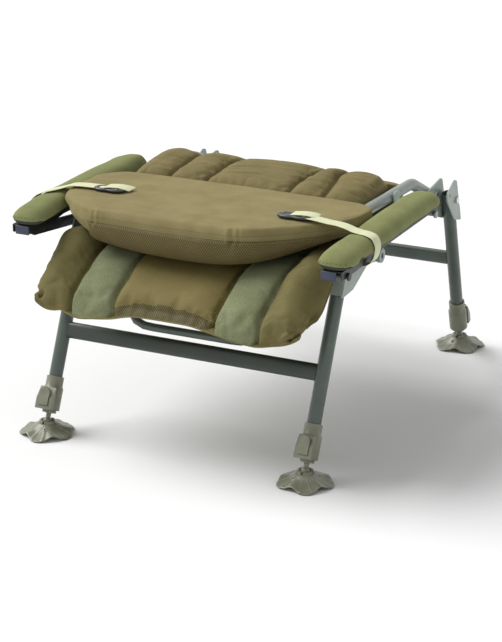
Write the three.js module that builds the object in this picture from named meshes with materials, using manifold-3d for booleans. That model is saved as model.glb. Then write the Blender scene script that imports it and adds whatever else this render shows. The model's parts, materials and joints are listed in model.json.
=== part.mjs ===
// Folding recliner chair for anglers, built folded: the backrest lies face down on the seat.
// Millimetres, +Z up, the chair faces -Y, origin on the ground between the four feet.
import * as THREE from 'three';
import { mergeVertices } from 'three/addons/utils/BufferGeometryUtils.js';
import Module from 'manifold-3d';

const wasm = await Module();
wasm.setup();

// Driving dimensions
const legTrack = 515;             // between the left and right leg axes
const footSpan = 758;             // between the front and rear feet
const seatHeight = 350;           // middle of the seat rails
const overrun = 2;                // how far every cut runs past what it cuts
const seatGap = 0.3;              // between two parts that touch
const softGap = 1.5;              // between a cushion and what it lies on

// Tubes and plates
const legRadius = 12.5;
const legWall = 1.4;
const sideRadius = 11;            // seat rails, backrest side tubes, cross tubes
const plateThickness = 3;
const legPlay = 0.8;              // leg tube to bracket flange
const boltRadius = 4;
const boltPlay = 0.3;
const boltHeadRadius = 7;
const boltHeadHeight = 4;
const roundSides = 16;
const boltSides = 10;
const tubeSides = 10;

// Pivots in the side view. A rise or drop is counted from the middle of the seat rails.
const frontPivotRise = 11;
const rearPivotDrop = 16;
const backRise = 50;              // the backrest tubes lie this far above the rails
const frontPivot = { y: -226, z: seatHeight + frontPivotRise };
const rearPivot = { y: 286, z: seatHeight - rearPivotDrop };
const backPivot = { y: 250, z: seatHeight };
const linkPivot = { y: -150, z: seatHeight };
const linkReach = 200;            // link and armrest pivots lie this far ahead of their carriers
const linkRise = 24;
const armFront = { y: linkPivot.y - linkReach, z: linkPivot.z + linkRise };
const armRear = { y: backPivot.y - linkReach, z: backPivot.z + linkRise };

// Feet
const footRadius = 52;
const footLobes = 5;
const footLobeDepth = 3.4;
const footRim = 4;
const footCrown = 9;
const footHubRadius = 15;
const footHubHeight = 25.5;
const ballRadius = 9;
const ballHeight = 22;
const ballPlay = 0.3;
const ballNeckRadius = 4.5;
const socketSlotWidth = 3;
const socketSlotDepth = 7;

// Telescopic legs, measured along the leg from the ball
const collarBelow = 21.5;
const collarLength = 62;
const collarSleeveLength = 18;
const collarSleeveRadius = 15.8;
const collarBodyRadius = 18;
const collarGrip = 20;            // the outer tube ends this far above the collar's lower end
const innerRadius = 10.7;
const innerWall = 1.4;
const innerLength = 180;          // length that the inner leg has inside the outer tube
const innerRingRadius = 13;
const innerRingHeight = 5;
const legHead = 13;               // the outer tube stands this far past its pivot
const lockWidth = 32;
const lockReach = 27;
const lockTabWidth = 19;
const lockTabHeight = 33;
const lockTabThickness = 5.5;
const lockTabStand = 2.2;
const lockTravel = 2;

// Crossbars
const frontBarFall = 172;         // middle of the bar below the seat rails
const rearBarFall = 148;
const frontBarHeight = seatHeight - frontBarFall;
const rearBarHeight = seatHeight - rearBarFall;
const barTall = 30;
const barDeep = 16;
const barWall = 1.6;

// Seat frame
const railFront = -262;
const railRear = 203;
const frontTubeDrop = 41;
const rearTubeDrop = 46;
const frontTube = { y: -243, z: seatHeight - frontTubeDrop };
const rearTube = { y: 296, z: seatHeight - rearTubeDrop };
const hoopInset = 123.5;          // hoop side inside the leg axis
const hoopTubeRadius = 7.5;
const hoopBend = 50;
const hoopFall = 103;
const hoopFoot = { y: -299, z: frontTube.z - hoopFall };
const bossRadius = 13;
const bossAxleRadius = 6;
const bossLength = 8;
const hexAcross = 10;
const hexDepth = 5;
const slingFront = -128;
const slingRear = 148;
const slingSag = 34;
const slingThickness = 1.5;

// Backrest
const backLevel = seatHeight + backRise;
const elbowDrop = 6;
const elbowBack = { y: 158, z: backLevel - elbowDrop };
const elbowBend = 50;
const backTop = -306;             // middle of the top tube
const backCorner = 40;
const shoulderY = -219;           // the side tubes turn in here
const backHeadInset = 161.5;      // and here they turn across
const backCrossInset = 197.5;     // the side tubes meet the top tube here
const lugRadius = 9;

// Armrests
const armOutset = 42.5;           // armrest outside the leg axis
const armHalf = 32;
const armBaseHalf = 18;
const armBaseWall = 2.5;
const armBaseRise = 38;
const armBaseTall = 16;
const armBaseTop = seatHeight + armBaseRise;
const armBaseUnder = armBaseTop - armBaseTall;
const armBaseFront = -376;
const armBaseRear = 60;
const armLobe = 12;
const armNose = -380;
const armTail = 63;
const armCrown = 34;
const armPadLift = 0.4;           // between the base and its padded cover
const armNoseDrop = 2;
const linkThickness = 4;
const linkEndRadius = 10;
const linkOffset = 4;             // link plate stands this far inside the armrest base wall

// Cushions
const foldPlane = 150;            // both cushions end here, against the fold roll
const cushionInset = 18.5;        // cushion edge inside the leg axis
const cushionFrontOutset = 9.5;
const cushionHemInset = 25.5;
const cushionNose = -425;
const cushionFall = 106;
const cushionRise = 32;
const cushionLow = seatHeight - cushionFall;
const cushionHigh = seatHeight + cushionRise;
const cushionSeams = [103, 186];
const padFront = -70;
const padSeams = [80, 155];
const padLift = 5;                // its seam lies this far above the backrest tubes
const padCrown = 23;
const padBelly = 19.5;
const padSeamLevel = backLevel + padLift;
const pillowOutset = 4.5;
const pillowRear = -72;
const pillowFront = -374;
const pillowSweep = 72;
const pillowLift = 2;
const pillowCrown = 23;
const pillowBelly = 57;
const pillowThinBelly = 23;
const pillowSeamLevel = backLevel + pillowLift;
const pillowTop = pillowSeamLevel + pillowCrown;
const pocketPlay = 2.2;           // between the faceted tube and its pocket
const rollPlay = 8;               // between the fold roll and the rails
const rollDepth = 74;
const rollTall = 41;

// Straps
const strapY = -247;
const strapWidth = 25;
const strapThickness = 1.6;
const strapTuck = 7;              // strap end short of the armrest's middle
const buckleInset = 97.5;
const buckleLong = 46;
const buckleWide = 30;
const buckleThick = 5;
const buckleBar = 4;

// Derived places
const legX = legTrack / 2;
const footY = footSpan / 2;
const flangeIn = legX - legRadius - legPlay;
const flangeOut = legX + legRadius + legPlay;
const sideX = flangeIn - plateThickness - seatGap - sideRadius;
const cheekX = sideX - sideRadius - seatGap;
const armX = legX + armOutset;
const hoopHalf = legX - hoopInset;
const backCrossHalf = legX - backCrossInset;
const backHeadHalf = legX - backHeadInset;
const cushionHalf = legX - cushionInset;
const cushionFrontHalf = legX + cushionFrontOutset;
const cushionHemHalf = legX - cushionHemInset;
const pillowHalf = legX + pillowOutset;
const strapEnd = armX - strapTuck;
const buckleX = legX - buckleInset;
const armBaseIn = armX - armBaseHalf;
const armBaseOut = armX + armBaseHalf;
const cheekIn = cheekX - plateThickness;
const slingTop = seatHeight - slingSag + slingThickness;
const crossHalf = flangeIn - plateThickness - seatGap;
const linkX = armBaseIn + linkOffset;
const frontLean = Math.atan2(footY + frontPivot.y, frontPivot.z - ballHeight);
const rearLean = Math.atan2(footY - rearPivot.y, rearPivot.z - ballHeight);
const frontReach = Math.hypot(footY + frontPivot.y, frontPivot.z - ballHeight);
const rearReach = Math.hypot(footY - rearPivot.y, rearPivot.z - ballHeight);

// Sizes that only one piece uses
const cheekOverlap = 34;          // hinge cheek along the rail
const cheekBead = 4;
const bracketReach = 66;          // front bracket down the leg
const bracketHeel = 46;
const bracketHeelAcross = 26;
const webTop = 22;                // the web starts below the swing of the leg's head
const rearReachDown = 50;
const rearToeDown = 34;
const rearToeAcross = 12;
const apexBack = 27;
const apexRise = 14;
const apexRadius = 12;
const slingShoulder = 21;
const slingTuck = 0.7;            // radians that the cloth wraps past the outside of the rail
const hoopSteps = 24;
const backSteps = 44;
const pocketSteps = 18;
const backTail = 9;               // tube end past the hinge bolt
const collarChamfer = 3;
const lockTabFloor = 7;
const innerNeckGap = 1;
const ballSteps = 4;
const ballNeckAngle = Math.acos(ballNeckRadius / ballRadius);
const lobeSteps = 6;
const lugSpread = 6;
const armPadUnder = armBaseTop + armPadLift;
const railInner = sideX - sideRadius;
const padHalf = railInner - softGap;
const rollHalf = railInner - rollPlay;

// Shares, chosen by hand, of the sizes they follow
const footShoulderShare = 0.72;
const lobeFadeShare = 0.6;
const footWaistShare = 0.42;
const footRippleShare = 1.4;
const armTaperShare = 0.12;
const armAcrossShares = [0, 0.35, 0.65, 0.86, 0.96, 1];
const armAlongShares = [-1, -0.985, -0.955, -0.923, -0.86, -0.7, -0.4, 0, 0.4, 0.75, 0.92, 0.98, 1];
const armUnderShare = 0.74;
const armTopShares = [[0, 0.72], [0.06, 0.84], [0.16, 0.9], [0.4, 0.95], [0.7, 1], [0.9, 0.95], [1, 0.7]];
const strapShoulderShare = 0.8;
const cushionAcrossShares = [0, 0.2, 0.36, 0.43, 0.5, 0.64, 0.74, 0.78, 0.83, 0.89, 0.94, 0.975, 1];
const cushionAlongShares = [-1, -0.97, -0.8, -0.4, 0, 0.15, 0.3, 0.44, 0.56, 0.68, 0.79, 0.89, 0.96, 1];
const cushionFlareFromShare = 0.56;
const cushionFlareToShare = 0.68;
const cushionTuckFromShare = 0.8;
const cushionSeamShare = 0.16;
const padAcrossShares = [0, 0.17, 0.31, 0.37, 0.43, 0.57, 0.67, 0.72, 0.77, 0.87, 0.94, 0.98, 1];
const padAlongShares = [-1, -0.97, -0.7, -0.2, 0.2, 0.5, 0.75, 0.92, 1];
const padSeamShare = 0.42;
const padFallFromShare = 0.55;
const padFallShare = 0.45;
const padBellyShare = 0.9;
const pillowAcrossShares = [0, 0.3, 0.58, 0.78, 0.9, 0.96, 1];
const pillowAlongShares = [-1, -0.97, -0.8, -0.3, 0.2, 0.6, 0.82, 0.95, 1];
const pillowEndShare = 0.62;
const rollAcrossShares = [0, 0.5, 0.85, 0.96, 1];
const rollAlongShares = [0, 0.3, 0.6, 0.85, 0.96, 1];
const cushionSeamWidth = 9;
const padSeamWidth = 9;
const padRearDrop = 19;

// Side-view lines of the seat cushion, rear to front: shares of its length and of its height
const cushionTopMiddleShares = [[0, 0.783], [0.052, 0.928], [0.261, 0.942], [0.417, 0.891],
  [0.609, 0.783], [0.835, 0.674], [0.943, 0.536], [0.998, 0.29], [0.96, 0.072]];
const cushionTopSideShares = [[0, 0.899], [0.052, 0.978], [0.261, 1], [0.417, 0.993], [0.609, 0.957],
  [0.826, 0.899], [0.925, 0.652], [0.977, 0.319], [0.955, 0.014]];
const cushionUnderMiddleShares = [[0, 0.783], [0.052, 0.52], [0.261, 0.52], [0.417, 0.52],
  [0.609, 0.572], [0.717, 0.565], [0.8, 0.377], [0.887, 0.13], [0.96, 0.072]];
const cushionUnderSideShares = [[0, 0.899], [0.052, 0.87], [0.261, 0.87], [0.417, 0.87], [0.609, 0.87],
  [0.734, 0.862], [0.814, 0.478], [0.883, 0.13], [0.955, 0.014]];

// Finishes
function paint(color, roughness, metalness) {
  return new THREE.MeshStandardMaterial({ color, roughness, metalness });
}
const powderCoat = paint('#6f7a72', 0.5, 0.3);
const pressedPlate = paint('#a3ada6', 0.5, 0.3);
const mouldedFoot = paint('#5b574c', 0.55, 0);
const blackNylon = paint('#1d1f22', 0.5, 0);
const zincSteel = paint('#c9ccce', 0.3, 0.9);
const khakiCloth = paint('#7a6a42', 0.9, 0);
const oliveCloth = paint('#838453', 0.9, 0);
const webbing = paint('#c9cda4', 0.9, 0);

const chair = new THREE.Group();

// Mesh and solid helpers

function weld(geometry) {
  geometry.deleteAttribute('normal');
  geometry.deleteAttribute('uv');
  const merged = mergeVertices(geometry);
  const source = merged.index.array;
  const kept = [];
  for (let i = 0; i < source.length; i += 3) {
    const [a, b, c] = [source[i], source[i + 1], source[i + 2]];
    if (a !== b && b !== c && a !== c) kept.push(a, b, c);
  }
  merged.setIndex(kept);
  return outward(merged);
}

// Turns every face of a closed mesh outward.
function outward(geometry) {
  const p = geometry.attributes.position;
  const index = geometry.index.array;
  const [a, b, c] = [new THREE.Vector3(), new THREE.Vector3(), new THREE.Vector3()];
  let volume = 0;
  for (let i = 0; i < index.length; i += 3) {
    a.fromBufferAttribute(p, index[i]);
    b.fromBufferAttribute(p, index[i + 1]);
    c.fromBufferAttribute(p, index[i + 2]);
    volume += a.dot(b.cross(c));
  }
  if (volume < 0) {
    for (let i = 0; i < index.length; i += 3) {
      const swap = index[i];
      index[i] = index[i + 1];
      index[i + 1] = swap;
    }
  }
  return geometry;
}

function solid(geometry) {
  const closed = weld(geometry);
  const mesh = new wasm.Mesh({
    numProp: 3,
    vertProperties: new Float32Array(closed.attributes.position.array),
    triVerts: new Uint32Array(closed.index.array),
  });
  return new wasm.Manifold(mesh);
}

function surface(body) {
  const mesh = body.getMesh();
  const geometry = new THREE.BufferGeometry();
  geometry.setAttribute('position', new THREE.BufferAttribute(new Float32Array(mesh.vertProperties), 3));
  geometry.setIndex(new THREE.BufferAttribute(new Uint32Array(mesh.triVerts), 1));
  return geometry;
}

function join(first, ...rest) {
  return rest.reduce((body, next) => body.add(next), first);
}

function cut(first, ...rest) {
  return rest.reduce((body, next) => body.subtract(next), first);
}

function place(parent, name, geometry, material) {
  const closed = geometry.attributes.normal ? weld(geometry) : outward(geometry);
  closed.computeVertexNormals();
  const mesh = new THREE.Mesh(closed, material);
  mesh.name = name;
  parent.add(mesh);
  return mesh;
}

// A side-view outline in y and z, as a plate between two x.
function slab(shape, from, to) {
  const depth = to - from;
  const geometry = new THREE.ExtrudeGeometry(shape, { depth, bevelEnabled: false, curveSegments: 4 });
  const side = new THREE.Matrix4().makeBasis(
    new THREE.Vector3(0, 1, 0), new THREE.Vector3(0, 0, 1), new THREE.Vector3(1, 0, 0));
  return geometry.applyMatrix4(side).translate(from, 0, 0);
}

// A front-view outline in x and z, as a band between two y.
function band(shape, from, to) {
  const depth = to - from;
  const geometry = new THREE.ExtrudeGeometry(shape, { depth, bevelEnabled: false, curveSegments: 6 });
  return geometry.rotateX(Math.PI / 2).translate(0, to, 0);
}

// A round bar along x.
function barX(radius, from, to, y, z, sides = roundSides) {
  const length = to - from;
  return new THREE.CylinderGeometry(radius, radius, length, sides)
    .rotateZ(Math.PI / 2).translate(from + length / 2, y, z);
}

// A turned profile of radius and height, about the z axis.
function turned(profile, sides = roundSides) {
  const points = profile.map(([r, z]) => new THREE.Vector2(r, z));
  return new THREE.LatheGeometry(points, sides).rotateX(Math.PI / 2);
}

// A round tube swept along a curve.
function swept(curve, radius, sides, steps) {
  const section = new THREE.Shape();
  section.absarc(0, 0, radius, 0, Math.PI * 2);
  return new THREE.ExtrudeGeometry(section, { steps, curveSegments: sides / 2, extrudePath: curve });
}

// Straight runs through the points, with round bends of the given radii at the inner ones.
function bentPath(points, bends) {
  const path = new THREE.CurvePath();
  let start = points[0];
  for (let i = 1; i < points.length - 1; i += 1) {
    const before = new THREE.Vector3().subVectors(points[i], points[i - 1]).normalize();
    const after = new THREE.Vector3().subVectors(points[i + 1], points[i]).normalize();
    const turn = before.angleTo(after);
    const run = bends[i - 1] * Math.tan(turn / 2);
    const into = points[i].clone().addScaledVector(before, -run);
    const out = points[i].clone().addScaledVector(after, run);
    path.add(new THREE.LineCurve3(start, into));
    path.add(new THREE.QuadraticBezierCurve3(into, points[i], out));
    start = out;
  }
  path.add(new THREE.LineCurve3(start, points[points.length - 1]));
  return path;
}

// The outline round a convex row of circles, given anticlockwise as { y, z, r }.
function wrapped(circles) {
  const shape = new THREE.Shape();
  const normals = circles.map((from, i) => {
    const to = circles[(i + 1) % circles.length];
    const along = Math.atan2(to.z - from.z, to.y - from.y);
    const apart = Math.hypot(to.z - from.z, to.y - from.y);
    return along - Math.PI / 2 - Math.asin((to.r - from.r) / apart);
  });
  circles.forEach((circle, i) => {
    const start = normals[(i + circles.length - 1) % circles.length];
    let end = normals[i];
    while (end < start) end += Math.PI * 2;
    shape.absarc(circle.y, circle.z, circle.r, start, end, false);
  });
  return shape;
}

function smooth(from, to, value) {
  return THREE.MathUtils.smoothstep(value, from, to);
}

// A sewn form: two skins over a grid, joined along their edge. skin(u, v, side) gives the point,
// with u and v from -1 to 1 and side 1 or -1, or 0 on the seam.
function sewn(acrossShares, alongShares, skin) {
  const columns = acrossShares.length;
  const rows = alongShares.length;
  const positions = [];
  const index = [];
  const ids = [[], []];
  for (let side = 0; side < 2; side += 1) {
    for (let j = 0; j < rows; j += 1) {
      for (let i = 0; i < columns; i += 1) {
        const rim = i === 0 || j === 0 || i === columns - 1 || j === rows - 1;
        if (rim && side === 1) {
          ids[1].push(ids[0][j * columns + i]);
        } else {
          const point = skin(acrossShares[i], alongShares[j], rim ? 0 : 1 - 2 * side);
          ids[side].push(positions.length / 3);
          positions.push(point.x, point.y, point.z);
        }
      }
    }
  }
  for (let side = 0; side < 2; side += 1) {
    for (let j = 0; j < rows - 1; j += 1) {
      for (let i = 0; i < columns - 1; i += 1) {
        const a = ids[side][j * columns + i];
        const b = ids[side][j * columns + i + 1];
        const c = ids[side][(j + 1) * columns + i + 1];
        const d = ids[side][(j + 1) * columns + i];
        if (side === 0) index.push(a, b, c, a, c, d);
        else index.push(a, c, b, a, d, c);
      }
    }
  }
  const geometry = new THREE.BufferGeometry();
  geometry.setAttribute('position', new THREE.BufferAttribute(new Float32Array(positions), 3));
  geometry.setIndex(index);
  return outward(geometry);
}

function mirroredShares(halfShares) {
  const left = halfShares.slice(1).reverse().map((share) => -share);
  return [...left, ...halfShares];
}

// How far a sewn skin stands from its edge: 0 at the rim, 1 inside.
function fullness(share, power) {
  return Math.sqrt(1 - Math.abs(share) ** power);
}

// A dip of 1 on a seam line, fading over the given width.
function dip(distance, width) {
  return Math.exp(-((distance / width) ** 2));
}

// Seat frame

// A plate or bar between two distances from the middle, on the given side.
function sideSlab(shape, side, near, far) {
  return side > 0 ? slab(shape, near, far) : slab(shape, -far, -near);
}

function sideBar(radius, side, near, far, at, sides = roundSides) {
  const [from, to] = side > 0 ? [near, far] : [-far, -near];
  return barX(radius, from, to, at.y, at.z, sides);
}

function sideHole(side, near, far, at, radius = boltRadius) {
  return solid(sideBar(radius + boltPlay, side, near - overrun, far + overrun, at, boltSides));
}

function seatRail(side, name) {
  const rail = solid(new THREE.CylinderGeometry(sideRadius, sideRadius, railRear - railFront, roundSides)
    .translate(side * sideX, (railRear + railFront) / 2, seatHeight));
  const cheekShape = wrapped([
    { y: railRear - cheekOverlap, z: seatHeight, r: sideRadius },
    { y: backPivot.y, z: backPivot.z, r: bossRadius },
  ]);
  const cheek = solid(sideSlab(cheekShape, side, cheekIn, cheekIn + plateThickness));
  const weldBead = solid(new THREE.BoxGeometry(cheekBead, cheekOverlap, cheekBead)
    .translate(side * (sideX - sideRadius), railRear - cheekOverlap, seatHeight));
  const hole = sideHole(side, cheekIn, cheekIn + plateThickness, backPivot);
  place(chair, name, surface(cut(join(rail, cheek, weldBead), hole)), powderCoat);
}

function crossTube(at, name) {
  place(chair, name, barX(sideRadius, -crossHalf, crossHalf, at.y, at.z), powderCoat);
}

function frontHoop() {
  const top = new THREE.Vector3(hoopHalf, frontTube.y, frontTube.z);
  const low = new THREE.Vector3(hoopHalf, hoopFoot.y, hoopFoot.z);
  const mirror = (point) => new THREE.Vector3(-point.x, point.y, point.z);
  const path = bentPath([top, low, mirror(low), mirror(top)], [hoopBend, hoopBend]);
  const hoop = solid(swept(path, hoopTubeRadius, tubeSides, hoopSteps));
  const saddle = solid(barX(sideRadius + seatGap, -crossHalf, crossHalf, frontTube.y, frontTube.z));
  place(chair, 'front_hoop', surface(cut(hoop, saddle)), powderCoat);
}

// Cloth wrapped over both rails and hanging between them.
function seatSling() {
  const wrapIn = sideRadius + seatGap;
  const wrapOut = wrapIn + slingThickness;
  const low = seatHeight - slingSag;
  const lip = sideX - wrapOut - slingShoulder;
  const shape = new THREE.Shape();
  shape.absarc(sideX, seatHeight, wrapOut, -slingTuck, Math.PI, false);
  shape.lineTo(lip, low + slingThickness);
  shape.lineTo(-lip, low + slingThickness);
  shape.absarc(-sideX, seatHeight, wrapOut, 0, Math.PI + slingTuck, false);
  shape.absarc(-sideX, seatHeight, wrapIn, Math.PI + slingTuck, 0, true);
  shape.lineTo(-lip, low);
  shape.lineTo(lip, low);
  shape.absarc(sideX, seatHeight, wrapIn, Math.PI, -slingTuck, true);
  place(chair, 'seat_sling', band(shape, slingFront, slingRear), khakiCloth);
}

// A point beside a deployed leg: so far down it from the pivot, so far out across it.
function besideLeg(pivot, lean, way, down, across) {
  return {
    y: pivot.y + way * (down * Math.sin(lean) + across * Math.cos(lean)),
    z: pivot.z - down * Math.cos(lean) + across * Math.sin(lean),
  };
}

function bracketWeb(pivot, lean, way, from, to) {
  const near = legRadius + legPlay;
  const far = near + plateThickness;
  const corners = [[from, near], [to, near], [to, far], [from, far]]
    .map(([down, across]) => besideLeg(pivot, lean, way, down, across));
  return new THREE.Shape(corners.map(({ y, z }) => new THREE.Vector2(y, z)));
}

function frontBracket(side, name) {
  const at = (down, across) => besideLeg(frontPivot, frontLean, -1, down, across);
  const webInset = legRadius + legPlay;
  const outline = [
    { ...linkPivot, r: bossRadius },
    { ...frontPivot, r: bossRadius },
    { ...at(bracketReach, webInset), r: plateThickness },
    { ...at(bracketHeel, -bracketHeelAcross), r: plateThickness },
  ];
  const inner = solid(sideSlab(wrapped(outline), side, flangeIn - plateThickness, flangeIn));
  const outer = solid(sideSlab(wrapped(outline), side, flangeOut, flangeOut + plateThickness));
  const web = solid(sideSlab(bracketWeb(frontPivot, frontLean, -1, webTop, bracketReach), side,
    flangeIn - plateThickness, flangeOut + plateThickness));
  const hole = sideHole(side, flangeIn - plateThickness, flangeOut + plateThickness, frontPivot);
  place(chair, name, surface(cut(join(inner, outer, web), hole)), pressedPlate);
}

function rearBracket(side, name) {
  const at = (down, across) => besideLeg(rearPivot, rearLean, 1, down, across);
  const webInset = legRadius + legPlay;
  const low = { ...at(rearReachDown, webInset), r: plateThickness };
  const apex = { y: backPivot.y + apexBack, z: backPivot.z + apexRise, r: apexRadius };
  const toe = { ...at(rearToeDown, -rearToeAcross), r: plateThickness };
  const hinge = { ...backPivot, r: bossRadius };
  const railEnd = { y: railRear - cheekOverlap, z: seatHeight, r: sideRadius };
  const innerShape = wrapped([low, apex, railEnd, toe]);
  const outerShape = wrapped([low, apex, hinge, toe]);
  const inner = solid(sideSlab(innerShape, side, flangeIn - plateThickness, flangeIn));
  const outer = solid(sideSlab(outerShape, side, flangeOut, flangeOut + plateThickness));
  const web = solid(sideSlab(bracketWeb(rearPivot, rearLean, 1, webTop, rearReachDown), side,
    flangeIn - plateThickness, flangeOut + plateThickness));
  const legHole = sideHole(side, flangeIn - plateThickness, flangeOut + plateThickness, rearPivot);
  const hingeHole = sideHole(side, flangeIn - plateThickness, flangeOut + plateThickness, backPivot);
  place(chair, name, surface(cut(join(inner, outer, web), legHole, hingeHole)), pressedPlate);
}

// A bolt along x with a round head at its far end, and one at its near end where asked.
function bolt(side, near, far, at, nearHead) {
  const shank = solid(sideBar(boltRadius, side, near, far, at, boltSides));
  const head = solid(sideBar(boltHeadRadius, side, far, far + boltHeadHeight, at, boltSides));
  const heads = [head];
  if (nearHead) heads.push(solid(sideBar(boltHeadRadius, side, near - boltHeadHeight, near, at, boltSides)));
  return join(shank, ...heads);
}

function legBolt(side, at, name) {
  const far = flangeOut + plateThickness + seatGap;
  place(chair, name, surface(bolt(side, flangeIn - plateThickness, far, at, false)), zincSteel);
}

function backBolt(side, name) {
  const body = bolt(side, cheekIn - seatGap, flangeIn + seatGap, backPivot, true);
  place(chair, name, surface(body), zincSteel);
}

// The stub that the front link turns on, with a hexagon socket in its cap.
function linkBoss(side, name) {
  const shoulder = flangeOut + plateThickness + seatGap;
  const capIn = linkX + linkThickness + seatGap;
  const capOut = capIn + bossLength;
  const socket = sideBar(hexAcross / Math.sqrt(3), side, capOut - hexDepth, capOut + overrun, linkPivot, 6);
  const parts = [
    sideBar(bossRadius, side, shoulder, linkX - seatGap, linkPivot),
    sideBar(bossAxleRadius, side, linkX - seatGap - overrun, capIn + overrun, linkPivot),
    sideBar(bossRadius, side, capIn, capOut, linkPivot),
  ].map(solid);
  place(chair, name, surface(cut(join(...parts), solid(socket))), powderCoat);
}

// Legs. Every leg is built hanging from its pivot, z down the leg, then leaned out.

function leaned(pivot, lean, way) {
  const group = new THREE.Group();
  group.position.set(0, pivot.y, pivot.z);
  group.rotation.x = way * lean;
  chair.add(group);
  return group;
}

function outerLeg(group, side, reach, name) {
  const end = -(reach - collarBelow - collarGrip);
  const bore = legRadius - legWall;
  const wall = [[bore, end], [legRadius, end], [legRadius, legHead], [bore, legHead], [bore, end]];
  const tube = solid(turned(wall).translate(side * legX, 0, 0));
  const origin = { y: 0, z: 0 };
  place(group, name, surface(cut(tube, sideHole(side, flangeIn, flangeOut, origin))), powderCoat);
}

function crossbar(group, drop, name) {
  const flat = (barTall - barDeep) / 2;
  const oval = (radius) => {
    const shape = new THREE.Shape();
    shape.absarc(0, flat, radius, 0, Math.PI, false);
    shape.absarc(0, -flat, radius, Math.PI, Math.PI * 2, false);
    return shape;
  };
  const ring = oval(barDeep / 2);
  ring.holes.push(oval(barDeep / 2 - barWall));
  const bar = solid(slab(ring, -legX, legX).translate(0, 0, -drop));
  const copes = [-1, 1].map((side) => solid(new THREE.CylinderGeometry(
    legRadius + seatGap, legRadius + seatGap, barTall + legRadius, roundSides)
    .rotateX(Math.PI / 2).translate(side * legX, 0, -drop)));
  const trims = [-1, 1].map((side) => solid(new THREE.BoxGeometry(legRadius * 2, legRadius * 2, barTall * 2)
    .translate(side * (legX + legRadius), 0, -drop)));
  place(group, name, surface(cut(bar, ...copes, ...trims)), powderCoat);
}

// The lock housing: a sleeve and a wider body on the leg's end, with a pocket for the tab.
function lockCollar(group, side, reach, way, name) {
  const low = -(reach - collarBelow);
  const top = low + collarLength;
  const shoulder = top - collarSleeveLength;
  const grip = low + collarGrip;
  const fit = legRadius + seatGap;
  const throat = innerRadius + seatGap;
  const shell = solid(turned([
    [throat, low], [collarBodyRadius, low], [collarBodyRadius, shoulder - collarChamfer],
    [collarSleeveRadius, shoulder], [collarSleeveRadius, top], [fit, top], [fit, grip - seatGap],
    [throat, grip - seatGap], [throat, low],
  ]));
  const housing = new THREE.Shape([
    [legRadius + collarChamfer, low], [lockReach, low], [lockReach, low + collarGrip],
    [collarBodyRadius, shoulder - collarChamfer], [legRadius + collarChamfer, shoulder - collarChamfer],
  ].map(([y, z]) => new THREE.Vector2(way * y, z)));
  const block = solid(slab(housing, -lockWidth / 2, lockWidth / 2));
  const pocket = solid(new THREE.BoxGeometry(
    lockTabWidth + 2 * boltPlay, lockTabThickness + lockTravel + overrun, lockTabHeight + 2 * boltPlay)
    .translate(0, way * (lockReach + overrun - (lockTabThickness + lockTravel + overrun) / 2),
      low + lockTabFloor + lockTabHeight / 2));
  const bores = [
    turned([[0, low - overrun], [throat, low - overrun], [throat, grip], [0, grip]]),
    turned([[0, grip - seatGap], [fit, grip - seatGap], [fit, top + overrun], [0, top + overrun]]),
  ].map(solid);
  const body = cut(join(shell, block), pocket, ...bores).translate([side * legX, 0, 0]);
  place(group, name, surface(body), mouldedFoot);
}

// The push tab of the leg lock, round at its top.
function lockTab(group, side, reach, way, name) {
  const low = -(reach - collarBelow) + lockTabFloor;
  const half = lockTabWidth / 2;
  const shape = new THREE.Shape();
  shape.moveTo(-half, low);
  shape.lineTo(half, low);
  shape.absarc(0, low + lockTabHeight - half, half, 0, Math.PI, false);
  const outer = lockReach + lockTabStand;
  const from = way > 0 ? outer - lockTabThickness : -outer;
  place(group, name, band(shape, from, from + lockTabThickness).translate(side * legX, 0, 0), mouldedFoot);
}

// The inner leg: an open tube in the outer one, with a ring, a neck and the foot's ball.
function innerLeg(group, side, reach, name) {
  const end = -(reach - collarBelow) - seatGap;
  const top = -(reach - collarBelow) + collarGrip + innerLength;
  const bore = innerRadius - innerWall;
  const ring = end - innerRingHeight;
  const profile = [
    [0, -reach - ballRadius],
    ...arcPoints(ballRadius, -reach, -Math.PI / 2, ballNeckAngle, ballSteps),
    [ballNeckRadius, ring - innerNeckGap],
    [innerRadius, ring], [innerRingRadius, ring], [innerRingRadius, end],
    [innerRadius, end], [innerRadius, top], [bore, top], [bore, end], [0, end],
  ];
  place(group, name, turned(profile).translate(side * legX, 0, 0), powderCoat);
}

// Points of a round profile about a centre on the axis.
function arcPoints(radius, height, from, to, steps) {
  return Array.from({ length: steps }, (_, i) => {
    const angle = from + ((to - from) * (i + 1)) / steps;
    return [radius * Math.cos(angle), height + radius * Math.sin(angle)];
  });
}

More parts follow.
